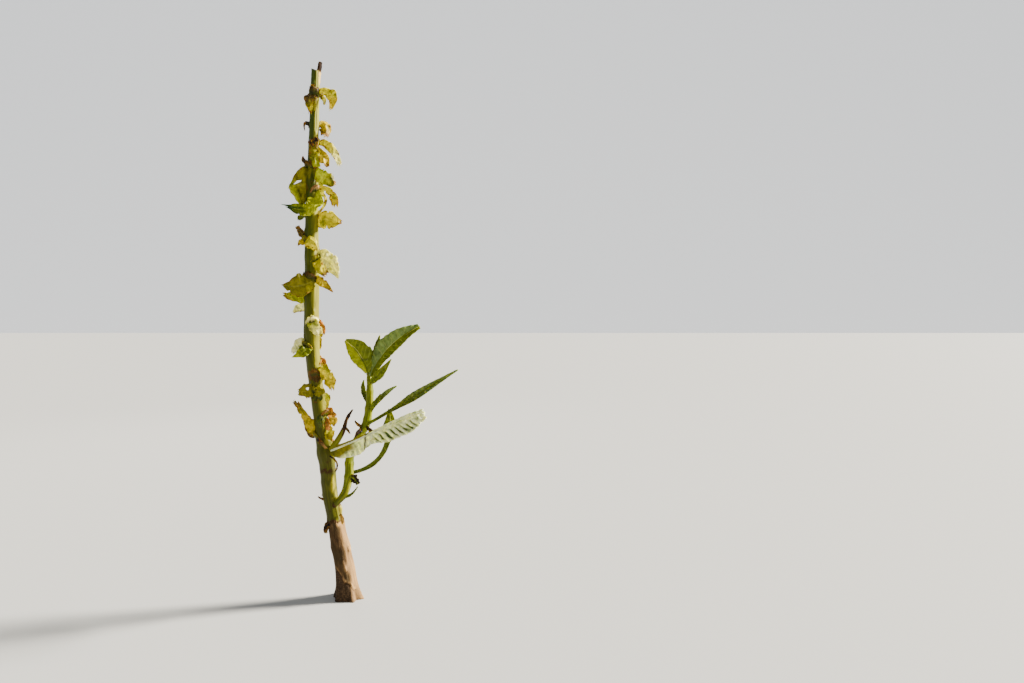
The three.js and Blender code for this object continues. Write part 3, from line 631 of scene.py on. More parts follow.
def stemPatch():
    sides, rings, top = stem["sides"], stem["rings"], stem["height"]
    joints = [(item["height"], item["turn"]) for item in remains] + stem["oldJoints"]
    rimStart = top - stem["brokenRim"]
    below, above = stem["jointReach"]
    points, around, masks = [], [], {"woody": [], "scar": [], "pale": [], "soil": []}

    def addPoint(point, place, **values):
        points.append(point)
        around.append(place)
        for key, value in values.items():
            masks[key].append(value)

    for k in range(rings + 1):
        z = top * k / rings
        middle, r0 = stemMiddle(z), stemRadius(z)
        near = [joint for joint in joints if -above < joint[0] - z < below]
        for turn in (360 * i / sides for i in range(sides)):
            a = math.radians(turn)
            x, y = math.cos(a), math.sin(a)
            edge = stem["barkTop"] + 6 * rough(3 * x, 3 * y, 1.5) + 3 * rough(9 * x, 9 * y, 4.5)
            bark = 1 - ease(z, edge - 3, edge + 3)
            lip = 99.0  # nowhere near it
            if z < stem["peelTop"]:
                lip = peelRise(z + 3 * rough(6 * x, 6 * y, z / 12), turn, r0)
            flap = hill(lip - 1.2, 1.7)
            flap *= ease(rough(5 * x, 5 * y, z / 9) + 0.3 * rough(14 * x, 14 * y, z / 4), -0.8, 0.1)
            r = r0 + rootFlare(z, turn) + oldScars(z, turn, r0) + leafJoints(z, turn, near)
            r += 1.4 * flap - 0.9 * hill(lip + 2.4, 1.6)
            r += skinRelief(z, a, bark)
            ring = scarRings(z, turn, r0, near, edge, lip)
            height = z
            if z > rimStart:
                share = ease(z, rimStart, top)
                height += share * (2.0 * math.sin(2 * a + 0.6) - 1.4 + 1.5 * rough(3 * x, 3 * y, 7))
                height += share * 0.7 * rough(9 * x, 9 * y, 3)
                ring += 0.5 * ease(z, top - 5, top)
            r += 0.5 * min(ring, 1) * rough(8 * x, 8 * y, z / 5)
            earth = soilTop(turn) + 9 * rough(3 * x, 3 * y, 8.2) + 5 * rough(9 * x, 9 * y, z / 14)
            place = (x * r0 * mm, y * r0 * mm, z * mm)
            addPoint(middle + np.array((r * x, r * y, height - z)), place, woody=bark, scar=min(ring, 1),
                     pale=bleachAndPaintedLight(z, turn, r0, bark, flap), soil=1 - ease(z, earth - 5, earth + 5))
    middle = stemMiddle(top)
    for step in range(1, stem["hollowSteps"] + 1):  # the sunk soft middle of the broken top
        share = 1 - step / (stem["hollowSteps"] + 0.35)
        for i in range(sides):
            rim = points[rings * sides + i]
            sunk = rim + (middle - rim) * (1 - share)
            sunk[2] = rim[2] * share + (top - 2.2) * (1 - share) - 1.2 * math.sin(math.pi * share)
            sunk[2] += 0.6 * rough(sunk[0] / 2, sunk[1] / 2, 5)
            place = tuple(np.array(around[rings * sides + i]) * (share, share, 1))
            addPoint(sunk, place, woody=0.6, scar=0.35 + 0.3 * share, pale=0.6 * (1 - share), soil=0)
    for i in range(sides):  # the flat cut at ground level
        points[i][2] = 0
    faces = tubeFaces(rings + 1 + stem["hollowSteps"], sides)
    return {"points": points, "faces": faces, "around": around, "fresh": [0.0] * len(points), **masks}


def smoothPath(points, count):
    # Evenly spaced places on a smooth line through the points, with a frame that doesn't twist
    stops = [np.array(p, float) for p in points]
    stops = [2 * stops[0] - stops[1]] + stops + [2 * stops[-1] - stops[-2]]
    dense = []
    for a, b, c, d in zip(stops, stops[1:], stops[2:], stops[3:]):
        for t in np.linspace(0, 1, 24, endpoint=False):
            dense.append(0.5 * (2 * b + (c - a) * t + (2 * a - 5 * b + 4 * c - d) * t ** 2
                                + (3 * b - a - 3 * c + d) * t ** 3))
    dense = np.array(dense + [stops[-2]])
    lengths = np.concatenate([[0], np.cumsum(np.linalg.norm(np.diff(dense, axis=0), axis=1))])
    wanted = np.linspace(0, lengths[-1], count + 1)
    places = np.stack([np.interp(wanted, lengths, dense[:, k]) for k in range(3)], axis=1)
    tangents = np.gradient(places, axis=0)
    side = unit(np.cross(tangents[0], (0.3, 1, 0.1)))
    frames = []
    for tangent in tangents:
        side = unit(side - tangent * np.dot(side, tangent) / np.dot(tangent, tangent))
        frames.append((side, unit(np.cross(tangent, side))))
    return places, frames, lengths[-1]


limbEnd = 2  # mm over which the ends of a limb are rounded


def limbPatch(limb, relief, masks):
    # Tapering round limb with rounded ends; relief and masks are called with share, angle and length in mm
    sides, count = limb["sides"], limb["rings"]
    places, frames, length = smoothPath(limb["points"], count)
    rows, around = [], []
    values = {key: [] for key in masks}
    for k, (middle, (side, up)) in enumerate(zip(places, frames)):
        share = k / count
        end = min(share, 1 - share) * length
        rounded = math.sqrt(max(1 - (1 - end / limbEnd) ** 2, 0.02)) if end < limbEnd else 1
        r0 = spread(limb["radii"], share) * rounded
        for i in range(sides):
            a = 2 * math.pi * i / sides
            r = r0 * (1 + relief(share, a, length))
            rows.append(middle + side * r * math.cos(a) + up * r * math.sin(a))
            around.append((math.cos(a) * r0 * mm, math.sin(a) * r0 * mm, share * length * mm))
            for key, mask in masks.items():
                values[key].append(mask(share, a, length))
    soil = [0.0] * len(rows)
    return {"points": rows, "faces": tubeFaces(count + 1, sides), "around": around, "soil": soil, **values}


splinter = {"radii": [2.6, 3.6, 4.2, 4.3, 3.6], "sides": 28, "rings": 46}


def splinterPatch():
    root = onStem(stem["height"] - 40, -5, 0.6)
    tip = (root[0] + 6.5, root[1], stem["splinterHeight"] - 1)
    limb = {**splinter, "points": [root, onStem(stem["height"] - 8, -5, 0.72), tip]}

    def relief(share, a, length):
        return 0.25 * rough(2 * math.cos(a), 2 * math.sin(a), share * 9) + 0.12 * math.sin(3 * a + 4 * share)

    def scars(share, a, length):
        return 2 * ease(share, 0.56, 0.72) * (0.8 + 0.2 * math.cos(a + 2.2))

    def paler(share, a, length):
        return 0.9 * (1 - ease(share, 0.6, 0.7))

    masks = {"woody": lambda *_: 0.7, "fresh": lambda *_: 0.0, "scar": scars, "pale": paler}
    return limbPatch(limb, relief, masks)


waxy = 0.12  # how much skin and leaves shine


def stemMaterial():
    material, tree, shader = newMaterial("stalkSkin")
    place = attribute(tree, "around", "Vector")
    woody, scar, pale, fresh, soil = (attribute(tree, n) for n in ("woody", "scar", "pale", "fresh", "soil"))
    height = addNode(tree, "ShaderNodeSeparateXYZ", {0: place}).outputs[2]
    streaks = noisy(tree, stretched(tree, place, 1, 1, 0.05), 420, 5, 0.6)
    blotches = noisy(tree, stretched(tree, place, 1, 1, 0.3), 70, 3)
    fine = noisy(tree, place, 900, 4, 0.6)
    # Green skin, darker toward the top, and a little darker low down as painted shade
    green = ramp(tree, ranged(tree, height, 0.15, 1.08), (0, 54, 54, 0), (0.14, 60, 62, 0),
                 (0.6, 58, 64, 0), (0.8, 50, 62, 4), (1, 42, 56, 10))
    green = mixed(tree, ranged(tree, streaks, 0.4, 0.75, 0, 0.5), green, screen(92, 96, 6))
    green = mixed(tree, ranged(tree, blotches, 0.52, 0.7, 0, 0.6), green, screen(44, 50, 0))
    sappy = ramp(tree, streaks, (0.3, 64, 72, 0), (0.5, 86, 94, 0), (0.7, 128, 134, 24))
    green = mixed(tree, fresh, green, sappy)
    # Tan bark with dark cracks, and earth on it near the ground
    cracks = noisy(tree, stretched(tree, place, 1, 1, 0.25), 170, 6, 0.66)
    bark = ramp(tree, cracks, (0.3, 40, 28, 16), (0.44, 66, 48, 28), (0.58, 84, 63, 38), (0.74, 120, 92, 58))
    bark = mixed(tree, ranged(tree, blotches, 0.46, 0.62, 0, 0.7), bark, screen(56, 45, 24))
    crumbs = noisy(tree, place, 300, 5, 0.7)
    earth = ramp(tree, crumbs, (0.36, 34, 25, 18), (0.5, 56, 42, 29), (0.64, 92, 71, 50))
    bark = mixed(tree, maths(tree, "MULTIPLY", soil, 0.8), bark, earth)
    colour = mixed(tree, woody, green, bark)
    # Bleached places and painted sunlight, then the dark marks over all
    bleachAndSunlight = mixed(tree, woody, screen(204, 188, 50), screen(218, 168, 106))
    colour = mixed(tree, maths(tree, "MULTIPLY", pale, 0.8), colour, bleachAndSunlight)
    # colour of the dark marks, and of the painted shade under the loose bark lip
    scorchAndShade = ramp(tree, fine, (0.35, 34, 22, 12), (0.6, 74, 50, 24), (0.75, 112, 80, 40))
    patchy = noisy(tree, place, 240, 4, 0.6)
    edge = ranged(tree, maths(tree, "ADD", scar, maths(tree, "MULTIPLY", patchy, 0.7)), 0.55, 1.05)
    colour = mixed(tree, edge, colour, scorchAndShade)
    colour = mixed(tree, ranged(tree, scar, 1.0, 2.0), colour, screen(24, 16, 12))
    tree.links.new(colour, shader.inputs["Base Color"])
    dull = ranged(tree, maths(tree, "ADD", woody, edge), 0, 1, 0.46, 0.86)
    tree.links.new(dull, shader.inputs["Roughness"])
    shader.inputs["Specular IOR Level"].default_value = waxy
    relief = bumped(tree, streaks, 0.35, 0.0008)
    relief = bumped(tree, maths(tree, "MULTIPLY", cracks, woody), 0.7, 0.003, relief)
    tree.links.new(bumped(tree, fine, 0.25, 0.0005, relief), shader.inputs["Normal"])
    return material


# Side shoot and the dead stub beside it
shoot = {
    "points": [(-26, -6, 193), (-2, -8, 221), (7, -7, 258), (9, -3, 298), (24, 0, 332), (42, 1, 364),
               (49, 1, 405), (50, 1, 440), (48, 0, 474)],
    "radii": [5.5, 7.5, 9, 8.6, 8.2, 8.4, 7.8, 6.6, 3.6],
    "joints": [0.1, 0.24, 0.33, 0.47, 0.6, 0.66, 0.74, 0.86, 0.94],  # shares where leaves stand or stood
    "sides": 40,
    "rings": 210,
}
deadShoot = {
    "points": [(-30, -6, 309), (-18, -8, 326), (-3, -8, 352), (6, -7, 383)],
    "radii": [6.5, 6, 4.4, 1.7],
    "witheredFrom": 0.52,
    "sides": 32,
    "rings": 90,
}


def shootPatch():
    def relief(share, a, length):
        swell = sum(0.13 * hill((share - at) * length, 5) for at in shoot["joints"])
        ribs = 0.02 * math.sin(5 * a + 9 * share) + 0.012 * math.sin(11 * a)
        return swell + ribs + 0.05 * rough(2 * math.cos(a), 2 * math.sin(a), share * length / 16)

    def scars(share, a, length):
        rings = [hill((share - at) * length, 1.6) for at in shoot["joints"]]
        return 0.42 * max(rings) * (0.5 + 0.5 * math.cos(a + 30 * share)) + 0.8 * (1 - ease(share, 0.0, 0.05))

    def paler(share, a, length):
        return 0.25 * ease(rough(2 * math.cos(a), 2 * math.sin(a), 9 * share), 0, 0.5)

    def fresher(share, a, length):
        return ease(share, -0.1, 0.25)

    masks = {"woody": lambda *_: 0.0, "scar": scars, "fresh": fresher, "pale": paler}
    return limbPatch(shoot, relief, masks)


def deadShootPatch():
    start = deadShoot["witheredFrom"]

    def relief(share, a, length):
        dry = ease(share, start - 0.1, start + 0.2)
        fine = 0.3 * rough(2.5 * math.cos(a), 2.5 * math.sin(a), share * length / 8)
        return dry * (fine - 0.08) + 0.04 * rough(2 * math.cos(a), 2 * math.sin(a), share * 5)

    def scars(share, a, length):
        return ease(share + 0.08 * math.sin(3 * a), start - 0.06, start + 0.12)

    def paler(share, a, length):
        return 0.2 * (1 - share)

    masks = {"woody": lambda *_: 0.0, "scar": scars, "fresh": lambda *_: 0.7, "pale": paler}
    return limbPatch(deadShoot, relief, masks)


# Leaf sheets, whole or torn; the values of one leaf or flap go over these
sheetLook = {
    "seed": 1, "facing": -90, "tilt": 0, "fold": 0, "cup": 0, "torn": 0.12, "holes": (), "paintedCreaseShade": None,
    "tipFrom": 0.45, "tipAt": 0.95, "tipSlant": 0, "quiltFrom": 0.04, "ribTint": "freshGreen",
    "slant": 0.65,  # how far the veins lean toward the tip
}
flapLook = {
    **sheetLook, "rows": 44, "columns": 29, "thickness": 0.8, "tear": 0.09, "notches": 3, "crumple": 0.9,
    "crease": 5, "frill": 1.6, "waves": 2.6, "endTear": 0.1, "quilt": 0.0, "veins": 7, "rim": "brown",
    "browning": 0.5, "ribbed": 0.12,
    "depth": 0.72,  # share of the stem's radius where a flap starts
}
leafLook = {
    **sheetLook, "rows": 120, "columns": 31, "thickness": 1.0, "tear": 0.02, "notches": 0, "crumple": 0.7,
    "crease": 1.0, "frill": 1.3, "waves": 3.2, "endTear": 0.02, "quilt": 0.7, "veins": 9, "rim": "lime",
    "browning": 0.1, "ribbed": 1.0,
}


def leafLine(spec):
    # Middle line of a leaf as a curve from root through mid to tip, and the way its face looks
    root, mid, tip = (np.array(spec[key], float) for key in ("root", "mid", "tip"))
    control = 2 * mid - 0.5 * root - 0.5 * tip
    length = np.linalg.norm(mid - root) + np.linalg.norm(tip - mid)
    turn, rise = math.radians(spec["facing"]), math.radians(spec["tilt"])
    face = np.array((math.cos(turn) * math.cos(rise), math.sin(turn) * math.cos(rise), math.sin(rise)))

    def centreAt(s):
        return (1 - s) ** 2 * root + 2 * s * (1 - s) * control + s ** 2 * tip

    def tangentAt(s):
        return unit(2 * (1 - s) * (control - root) + 2 * s * (tip - control))

    return centreAt, tangentAt, length, face


def halfWidth(leaf, side, s):
    seed, reach = leaf["seeds"][side], s * leaf["length"]
    tears = 0.6 * rough(reach / 6, 3.7 * seed, 0.5) + 0.4 * rough(reach / 2.4, 5.1 * seed, 2.5)
    widths = leaf.get("right" if side > 0 else "left", leaf.get("wide"))
    half = spread(widths, s) * (1 + leaf["torn"] * ragged(s, seed)) * (1 + leaf["tear"] * tears)
    for at, span, depth, notched in leaf["notches"]:
        if notched == side:
            half *= 1 - depth * hill(s - at, span)
    return max(half, 0.5)


def opened(leaf, c, s):  # pushes places near a hole out to its edge, and tells which lie well inside it
    for c0, s0, wide, tall in leaf["holes"]:
        x = (c - c0) * halfWidth(leaf, 1 if c0 > 0 else -1, s0) / wide
        y = (s - s0) * leaf["length"] / tall
        gap = math.hypot(x, y) * (1 + 0.25 * rough(3 * x, 3 * y, leaf["seed"]))
        if gap < 1:
            return c0 + (c - c0) / max(gap, 0.05), s0 + (s - s0) / max(gap, 0.05), gap < 0.75
    return c, s, False


def creaseShaded(colour, paintedCreaseShade, c, s, swell):
    # Painted shade in the creases of the pale leaf, greener and darkest deep in them, and a dark line of
    # painted shade where it is torn across
    start, stop = paintedCreaseShade["start"], paintedCreaseShade["stop"]
    crease = swell + 0.75 * rough(2 * c, 13 * s, 6) + 0.4 * rough(6 * c, 25 * s, 2)
    bound = 0.25 * rough(1, 14 * s, 3)
    creaseShadeShare = ease(s, start, start + 0.12) * (1 - ease(s, stop - 0.1, stop))
    creaseShadeShare *= ease(c + bound, 0.04, 0.35) * (1 - ease(c - bound, 0.75, 1.02)) * ease(crease, -0.6, 0.9)
    colour = blended(colour, tints["freshGreen"], 0.6 * creaseShadeShare)
    colour = blended(colour, tints[paintedCreaseShade["tint"]], creaseShadeShare ** 3)
    torn = hill(s - paintedCreaseShade["tear"] + 0.03 * c + 0.01 * rough(4 * c, 3, 1), 0.012)
    return blended(colour, tints["dark"], torn)


def sheetColour(leaf, c, s, swell):
    share = s + 0.16 * rough(2 * c, 5 * s, leaf["seed"]) + leaf["tipSlant"] * c
    share = ease(share, leaf["tipFrom"], leaf["tipAt"])
    colour = blended(tints[leaf["tint"]], tints[leaf.get("tipTint", leaf["tint"])], share)
    if "leftTint" in leaf:
        colour = blended(colour, tints[leaf["leftTint"]], ease(-c, -0.03, 0.08))
    return creaseShaded(colour, leaf["paintedCreaseShade"], c, s, swell) if leaf["paintedCreaseShade"] else colour


def crumples(x, y, z, seed):
    return 0.62 * rough(x, y + seed, z) + 0.38 * rough(2.4 * x, 2.4 * y, 2.4 * z + seed)


def creases(x, y, z, seed):
    ridge = 0.45 - abs(rough(0.62 * x + 0.3 * z, 0.62 * y + 2 * seed, 0.5 * z - 0.3 * x)) * 2.0
    return ridge + 0.3 * (0.35 - abs(rough(1.5 * x, 1.5 * y + 3 * seed, 1.5 * z)) * 1.5)


def sheetPatch(spec):
    centreAt, tangentAt, length, face = leafLine(spec)
    seed, fold = spec["seed"], math.radians(spec["fold"])
    rows, columns = spec["rows"], spec["columns"]
    chance = random.Random(1000 * seed + round(10 * length))
    notches = [(chance.uniform(0.12, 0.97), chance.uniform(0.012, 0.045), chance.uniform(0.12, 0.42),
                chance.choice((-1, 1))) for _ in range(spec["notches"])]
    phases = {side: chance.uniform(0, 1) for side in (-1, 1)}
    curl = spec.get("curl", chance.uniform(-0.35, 0.35))
    leaf = {**spec, "length": length, "notches": notches, "seeds": {1: seed, -1: seed + 3}}
    points, place, tint, inside = [], [], [], []
    for k in range(rows + 1):
        for j in range(columns + 1):
            # c runs from -1 to 1 across the sheet and s from 0 to 1 along it
            c, s, hidden = opened(leaf, 2 * j / columns - 1, k / rows)
            inside.append(hidden)
            side = 1 if c > 0 else -1
            half = halfWidth(leaf, side, s)
            tear = rough(2.2 * c, 1.7 * seed, 0.3) + 0.5 * rough(7 * c, seed, 4)
            s *= 1 + spec["endTear"] * ease(s, 0.5, 1) * tear
            tangent = tangentAt(s)
            across = unit(np.cross(tangent, face))
            normal = unit(np.cross(across, tangent))
            reach = max(half, 0.8) * abs(c)
            lift = reach * math.sin(fold) + spec["cup"] * half * c ** 2
            lift += 0.12 * reach * ragged(s, leaf["seeds"][side] + 1)
            wave = math.sin(2 * math.pi * (spec["waves"] * s * length / 40 + phases[side]))
            lift += spec["frill"] * min(half / 9, 1.3) * c ** 2 * wave * ease(s, 0, 0.25)
            lift += curl * length * max(s - 0.55, 0) ** 2
            vein = spec["veins"] * (s - spec["slant"] * reach / length) + 0.35 * rough(2 * c, 5 * s, seed)
            swell = math.cos(2 * math.pi * vein)
            quilt = spec["quilt"] * min(half / 12, 1) * ease(s, spec["quiltFrom"], spec["quiltFrom"] + 0.15)
            lift -= quilt * swell * math.sqrt(abs(c)) * (1 - 0.5 * abs(c))
            lift -= 0.9 * quilt * hill(reach, 1.6)
            point = centreAt(s) + across * side * reach * math.cos(fold) + normal * lift
            crumple = crumples(*point / 15, seed) * ease(s, 0, 0.15) * (0.35 + 0.65 * abs(c))
            crease = creases(*point / 15, seed) * ease(s, 0.05, 0.3) * min(half / 10, 1)
            points.append(point + normal * (spec["crumple"] * crumple + spec["crease"] * crease))
            place.append((c, vein, min((1 - abs(c)) * half, (1 - s) * length)))
            tint.append(sheetColour(leaf, c, s, swell))
    faces = [face for face in gridFaces(rows + 1, columns + 1) if not all(inside[i] for i in face)]
    count = len(points)
    patch = {"points": points, "faces": faces, "place": place, "tint": tint}
    patch["rim"] = [tints[spec["rim"]]] * count
    patch["browning"] = [spec["browning"]] * count
    patch["ribbed"] = [spec["ribbed"]] * count
    return thickened(patch, spec["thickness"])


def plain(count, tint, browning, edge=6.0):  # what a leaf base carries in place of a sheet's own values
    own = {"place": (0.5, 0.5, edge), "tint": tints[tint], "rim": tints["umber"], "browning": browning,
           "ribbed": 0.0}
    return {key: [value] * count for key, value in own.items()}


midrib = {
    "radii": [2.6, 2.21, 1.56, 1.04, 0.572], "sides": 16, "rings": 60, "stops": 12, "end": 0.97,
    "behind": 0.9,
}


def midribPatch(spec):
    # Leaf stalk and midrib along the back of a blade, tapering to its tip
    centreAt, _, _, face = leafLine(spec)
    stops = np.linspace(0, midrib["end"], midrib["stops"])
    line = [centreAt(s) - face * midrib["behind"] * (1 - s) for s in stops]
    patch = limbPatch({**midrib, "points": line}, lambda share, a, length: 0.05 * math.sin(3 * a), {})
    kept = {key: patch[key] for key in ("points", "faces")}
    return {**kept, **plain(len(patch["points"]), spec["ribTint"], 0.0)}


# Leaf base that clasps the stem, and the torn sheath that stands up from it
claspLook = {
    "span": 75,  # degrees either way
    "ledge": 6, "tall": 9, "droop": 12, "columns": 46, "section": 14, "sheathRows": 6, "sheathThickness": 0.8,
}


def claspPatches(item):
    clasp = {**claspLook, **item}
    height, columns, section, rows = (clasp[key] for key in ("height", "columns", "section", "sheathRows"))
    body, band, bodyTint = [], [], []
    for k in range(columns + 1):
        across = 2 * k / columns - 1
        full = math.cos(1.25 * across)
        z = height - clasp["droop"] * across ** 2
        half = 0.5 * clasp["tall"] * (0.35 + 0.65 * full) * (1 + 0.3 * rough(5 * across, height, 0.3))
        out = (0.9 + clasp["ledge"] * full ** 2) * (1 + 0.25 * rough(6 * across, height, 5.3))
        angle = clasp["turn"] + clasp["span"] * across
        ends = math.sqrt(max(1 - across ** 6, 0.02))
        for j in range(section):
            a = 2 * math.pi * j / section
            outward, upward = 0.5 + 0.5 * math.cos(a), math.sin(a)
            rise = half * upward * (1 if upward > 0 else 1.7) * ends
            share = ease(upward + 0.6 * rough(8 * across, height, upward), -0.75, 0.35)
            bodyTint.append(blended(tints["stalkGreen"], tints[clasp["tint"]], share))
            reach = -2 + (out * (0.8 + 0.2 * upward) + 2) * outward ** 0.8 * ends
            bumps = 0.9 * rough(angle / 5, upward * 2, height) + 0.5 * rough(angle / 2, upward * 3, 4)
            reach += bumps * outward
            body.append(onStem(z + rise, angle, 1, reach))
        top = 2.2 + 4.5 * rough(7 * across, height / 9, 1.1) + 2 * rough(17 * across, height, 2.2)
        top = max(top, 0.2) * ends
        for share in (j / rows for j in range(rows + 1)):
            reach = out * 0.55 + share * (0.6 + 1.6 * rough(4 * across, height, 8.8))
            band.append(onStem(z + half * 0.5 * ends + share * (top + half * 0.4), angle, 1, max(reach, 0.4)))
    tint = clasp["tint"]
    solid = {"points": body, "faces": tubeFaces(columns + 1, section), **plain(len(body), tint, 0.35)}
    sheath = {"points": band, "faces": gridFaces(columns + 1, rows + 1), **plain(len(band), tint, 0.8, 2.0)}
    return [{**solid, "tint": bodyTint}, thickened(sheath, clasp["sheathThickness"])]


wrapLook = {"rows": 28, "columns": 40, "thickness": 0.7}


def wrapPatch(height, turn, span, fall, tint, tipTint):
    # Torn sheath of the old leaf that still lies round the stem below its base
    rows, columns = wrapLook["rows"], wrapLook["columns"]
    points, place, colours = [], [], []
    for s in (k / rows for k in range(rows + 1)):
        for across in (2 * j / columns - 1 for j in range(columns + 1)):
            angle = turn + span * across * (1 - 0.25 * s * s + 0.07 * rough(5 * s, height, 3.3))
            drop = 0.8 + 0.35 * rough(2.2 * across, height, 1.7) + 0.14 * rough(8 * across, height, 5.1)
            z = height + 2 - fall * s * drop
            gap = 1.2 + 2.4 * ease(s, 0.45, 1) * abs(rough(3 * across, height, 4.4))
            gap += 0.7 * rough(angle / 14, z / 11, 2)
            points.append(onStem(z, angle, 1, max(gap, 0.6)))
            place.append((across, 6 * s, min((1 - abs(across)) * span * 0.25, (1 - s) * fall)))
            share = ease(s + 0.3 * rough(3 * across, 3 * s, height), 0.1, 0.7)
            colours.append(blended(tints[tint], tints[tipTint], share))
    patch = {"points": points, "faces": gridFaces(rows + 1, columns + 1), **plain(len(points), tint, 0.4)}
    return thickened({**patch, "place": place, "tint": colours}, wrapLook["thickness"])


def remnantPatches(item):
    height, patches = item["height"], claspPatches(item)
    if "wrap" in item:
        patches.append(wrapPatch(height, *item["wrap"]))
    middle = stemMiddle(height)
    for own in item["flaps"]:
        flap = {**flapLook, **own}
        root = onStem(height - flap["drop"], flap["turn"], flap["depth"])
        ends = {"root": root, "mid": middle + flap["mid"], "tip": middle + flap["tip"]}
        patches.append(sheetPatch({**flap, **ends}))
    return patches


def leafMaterial():
    material, tree, shader = newMaterial("tobaccoLeaf")
    tint, rim = attribute(tree, "tint", "Color"), attribute(tree, "rim", "Color")
    browning, ribbed = attribute(tree, "browning"), attribute(tree, "ribbed")
    place = addNode(tree, "ShaderNodeSeparateXYZ", {0: attribute(tree, "place", "Vector")})
    across, vein, edge = place.outputs
    where = addNode(tree, "ShaderNodeTexCoord").outputs["Object"]
    large = noisy(tree, where, 60, 3)
    middle = noisy(tree, where, 190, 4, 0.6)
    fine = noisy(tree, where, 620, 4, 0.65)
    # The sheet's own colours, mottled
    white = (255, 255, 255)
    mottle = ramp(tree, large, (0.32, 170, 180, 140), (0.46, *white), (0.6, *white), (0.72, 255, 238, 190))
    colour = mixed(tree, 1.0, tint, mottle, "MULTIPLY")
    grain = ramp(tree, middle, (0.35, 196, 200, 180), (0.6, *white))
    colour = mixed(tree, 0.8, colour, grain, "MULTIPLY")
    # Midrib and veins
    aside = maths(tree, "ABSOLUTE", across)
    rib = maths(tree, "MULTIPLY", ranged(tree, aside, 0.13, 0.03), maths(tree, "MULTIPLY", ribbed, 0.75))
    line = maths(tree, "ABSOLUTE", maths(tree, "SUBTRACT", maths(tree, "FRACT", vein), 0.5))
    veins = maths(tree, "MULTIPLY", ranged(tree, line, 0.42, 0.49), maths(tree, "MULTIPLY", ribbed, 0.16))
    veins = maths(tree, "MAXIMUM", rib, veins)
    colour = mixed(tree, veins, colour, screen(214, 210, 110))
    # Dry brown places along torn edges, and spots
    torn = maths(tree, "SUBTRACT", edge, maths(tree, "MULTIPLY", maths(tree, "SUBTRACT", middle, 0.4), 20.0))
    patches = ranged(tree, noisy(tree, where, 85, 3, 0.6), 0.47, 0.6)
    dry = maths(tree, "MULTIPLY", ranged(tree, torn, 1.8, -0.6), ranged(tree, browning, 0.0, 0.5))
    dry = maths(tree, "MULTIPLY", dry, patches)
    spots = ranged(tree, maths(tree, "ADD", fine, maths(tree, "MULTIPLY", browning, 0.06)), 0.75, 0.8)
    dry = maths(tree, "MAXIMUM", dry, maths(tree, "MULTIPLY", spots, 0.45))
    scorched = ramp(tree, fine, (0.4, 60, 32, 12), (0.65, 150, 92, 26))
    colour = mixed(tree, dry, colour, mixed(tree, 0.6, rim, scorched))
    tree.links.new(colour, shader.inputs["Base Color"])
    tree.links.new(ranged(tree, dry, 0, 1, 0.46, 0.8), shader.inputs["Roughness"])
    shader.inputs["Specular IOR Level"].default_value = waxy
    shader.inputs["Subsurface Weight"].default_value = 0.5
    shader.inputs["Subsurface Radius"].default_value = (1.0, 1.0, 0.25)
    shader.inputs["Subsurface Scale"].default_value = 0.003
    cells = addNode(tree, "ShaderNodeTexVoronoi", {"Vector": where, "Scale": 420}, feature="DISTANCE_TO_EDGE")
    relief = bumped(tree, cells.outputs["Distance"], 0.3, 0.0006)
    relief = bumped(tree, middle, 0.35, 0.0012, relief)
    tree.links.new(bumped(tree, veins, 0.4, 0.0008, relief), shader.inputs["Normal"])
    return material


# Dry scraps that hang at old joints, each from root through mid to tip
scrapLook = {
    **flapLook, "rows": 18, "columns": 11, "crease": 2.5, "crumple": 2.2, "rim": "umber", "thickness": 0.7,
    "tint": "dark", "ribbed": 0.0,
}
driedScraps = [
    dict(root=(-36, -4, 160), mid=(-42, -6, 152), tip=(-43, -7, 138), wide=(3, 4, 3), seed=2),
    dict(root=(-34, -12, 158), mid=(-38, -16, 150), tip=(-37, -17, 141),
         wide=(4, 4, 2), seed=5, tipTint="brown"),
    dict(root=(-46, -4, 207), mid=(-53, -4, 210), tip=(-58, -4, 213), wide=(3, 2.4, 1.2), seed=3),
    dict(root=(-12, -8, 177), mid=(-6, -12, 168), tip=(-7, -12, 158), wide=(3, 4, 2), seed=4, tint="tan"),
    dict(root=(-66, -4, 941), mid=(-62, -13, 936), tip=(-55, -14, 926), wide=(4, 5, 2), seed=7),
    dict(root=(-55, -7, 944), mid=(-50, -12, 938), tip=(-49, -12, 926),
         wide=(3, 4, 2), seed=8, tipTint="tan"),
    dict(root=(-72, -4, 894), mid=(-77, -9, 900), tip=(-78, -11, 908), wide=(4, 4, 1.5), seed=6),
    dict(root=(38, -5, 352), mid=(30, -15, 350), tip=(24, -18, 340), wide=(3, 4, 2), seed=9),
    dict(root=(44, -6, 360), mid=(54, -15, 352), tip=(66, -18, 350),
         wide=(3, 4, 2), seed=4, tipTint="umber"),
    dict(root=(36, -5, 358), mid=(28, -12, 364), tip=(22, -14, 372),
         wide=(3, 3, 1.5), seed=1, tint="umber"),
    dict(root=(-30, -15, 300), mid=(-14, -20, 286), tip=(-18, -21, 268), wide=(1.6, 2, 1.2), seed=5),
    dict(root=(0, -8, 366), mid=(8, -13, 380), tip=(17, -12, 395), wide=(2.5, 3.5, 1.5), seed=3),
    dict(root=(-6, -8, 354), mid=(4, -14, 356), tip=(12, -15, 346),
         wide=(2.5, 3, 1.5), seed=7, tipTint="umber"),
    dict(root=(-62, -2, 336), mid=(-48, -18, 330), tip=(-36, -20, 316),
         wide=(3, 4, 2.5), seed=9, tipTint="tan"),
]

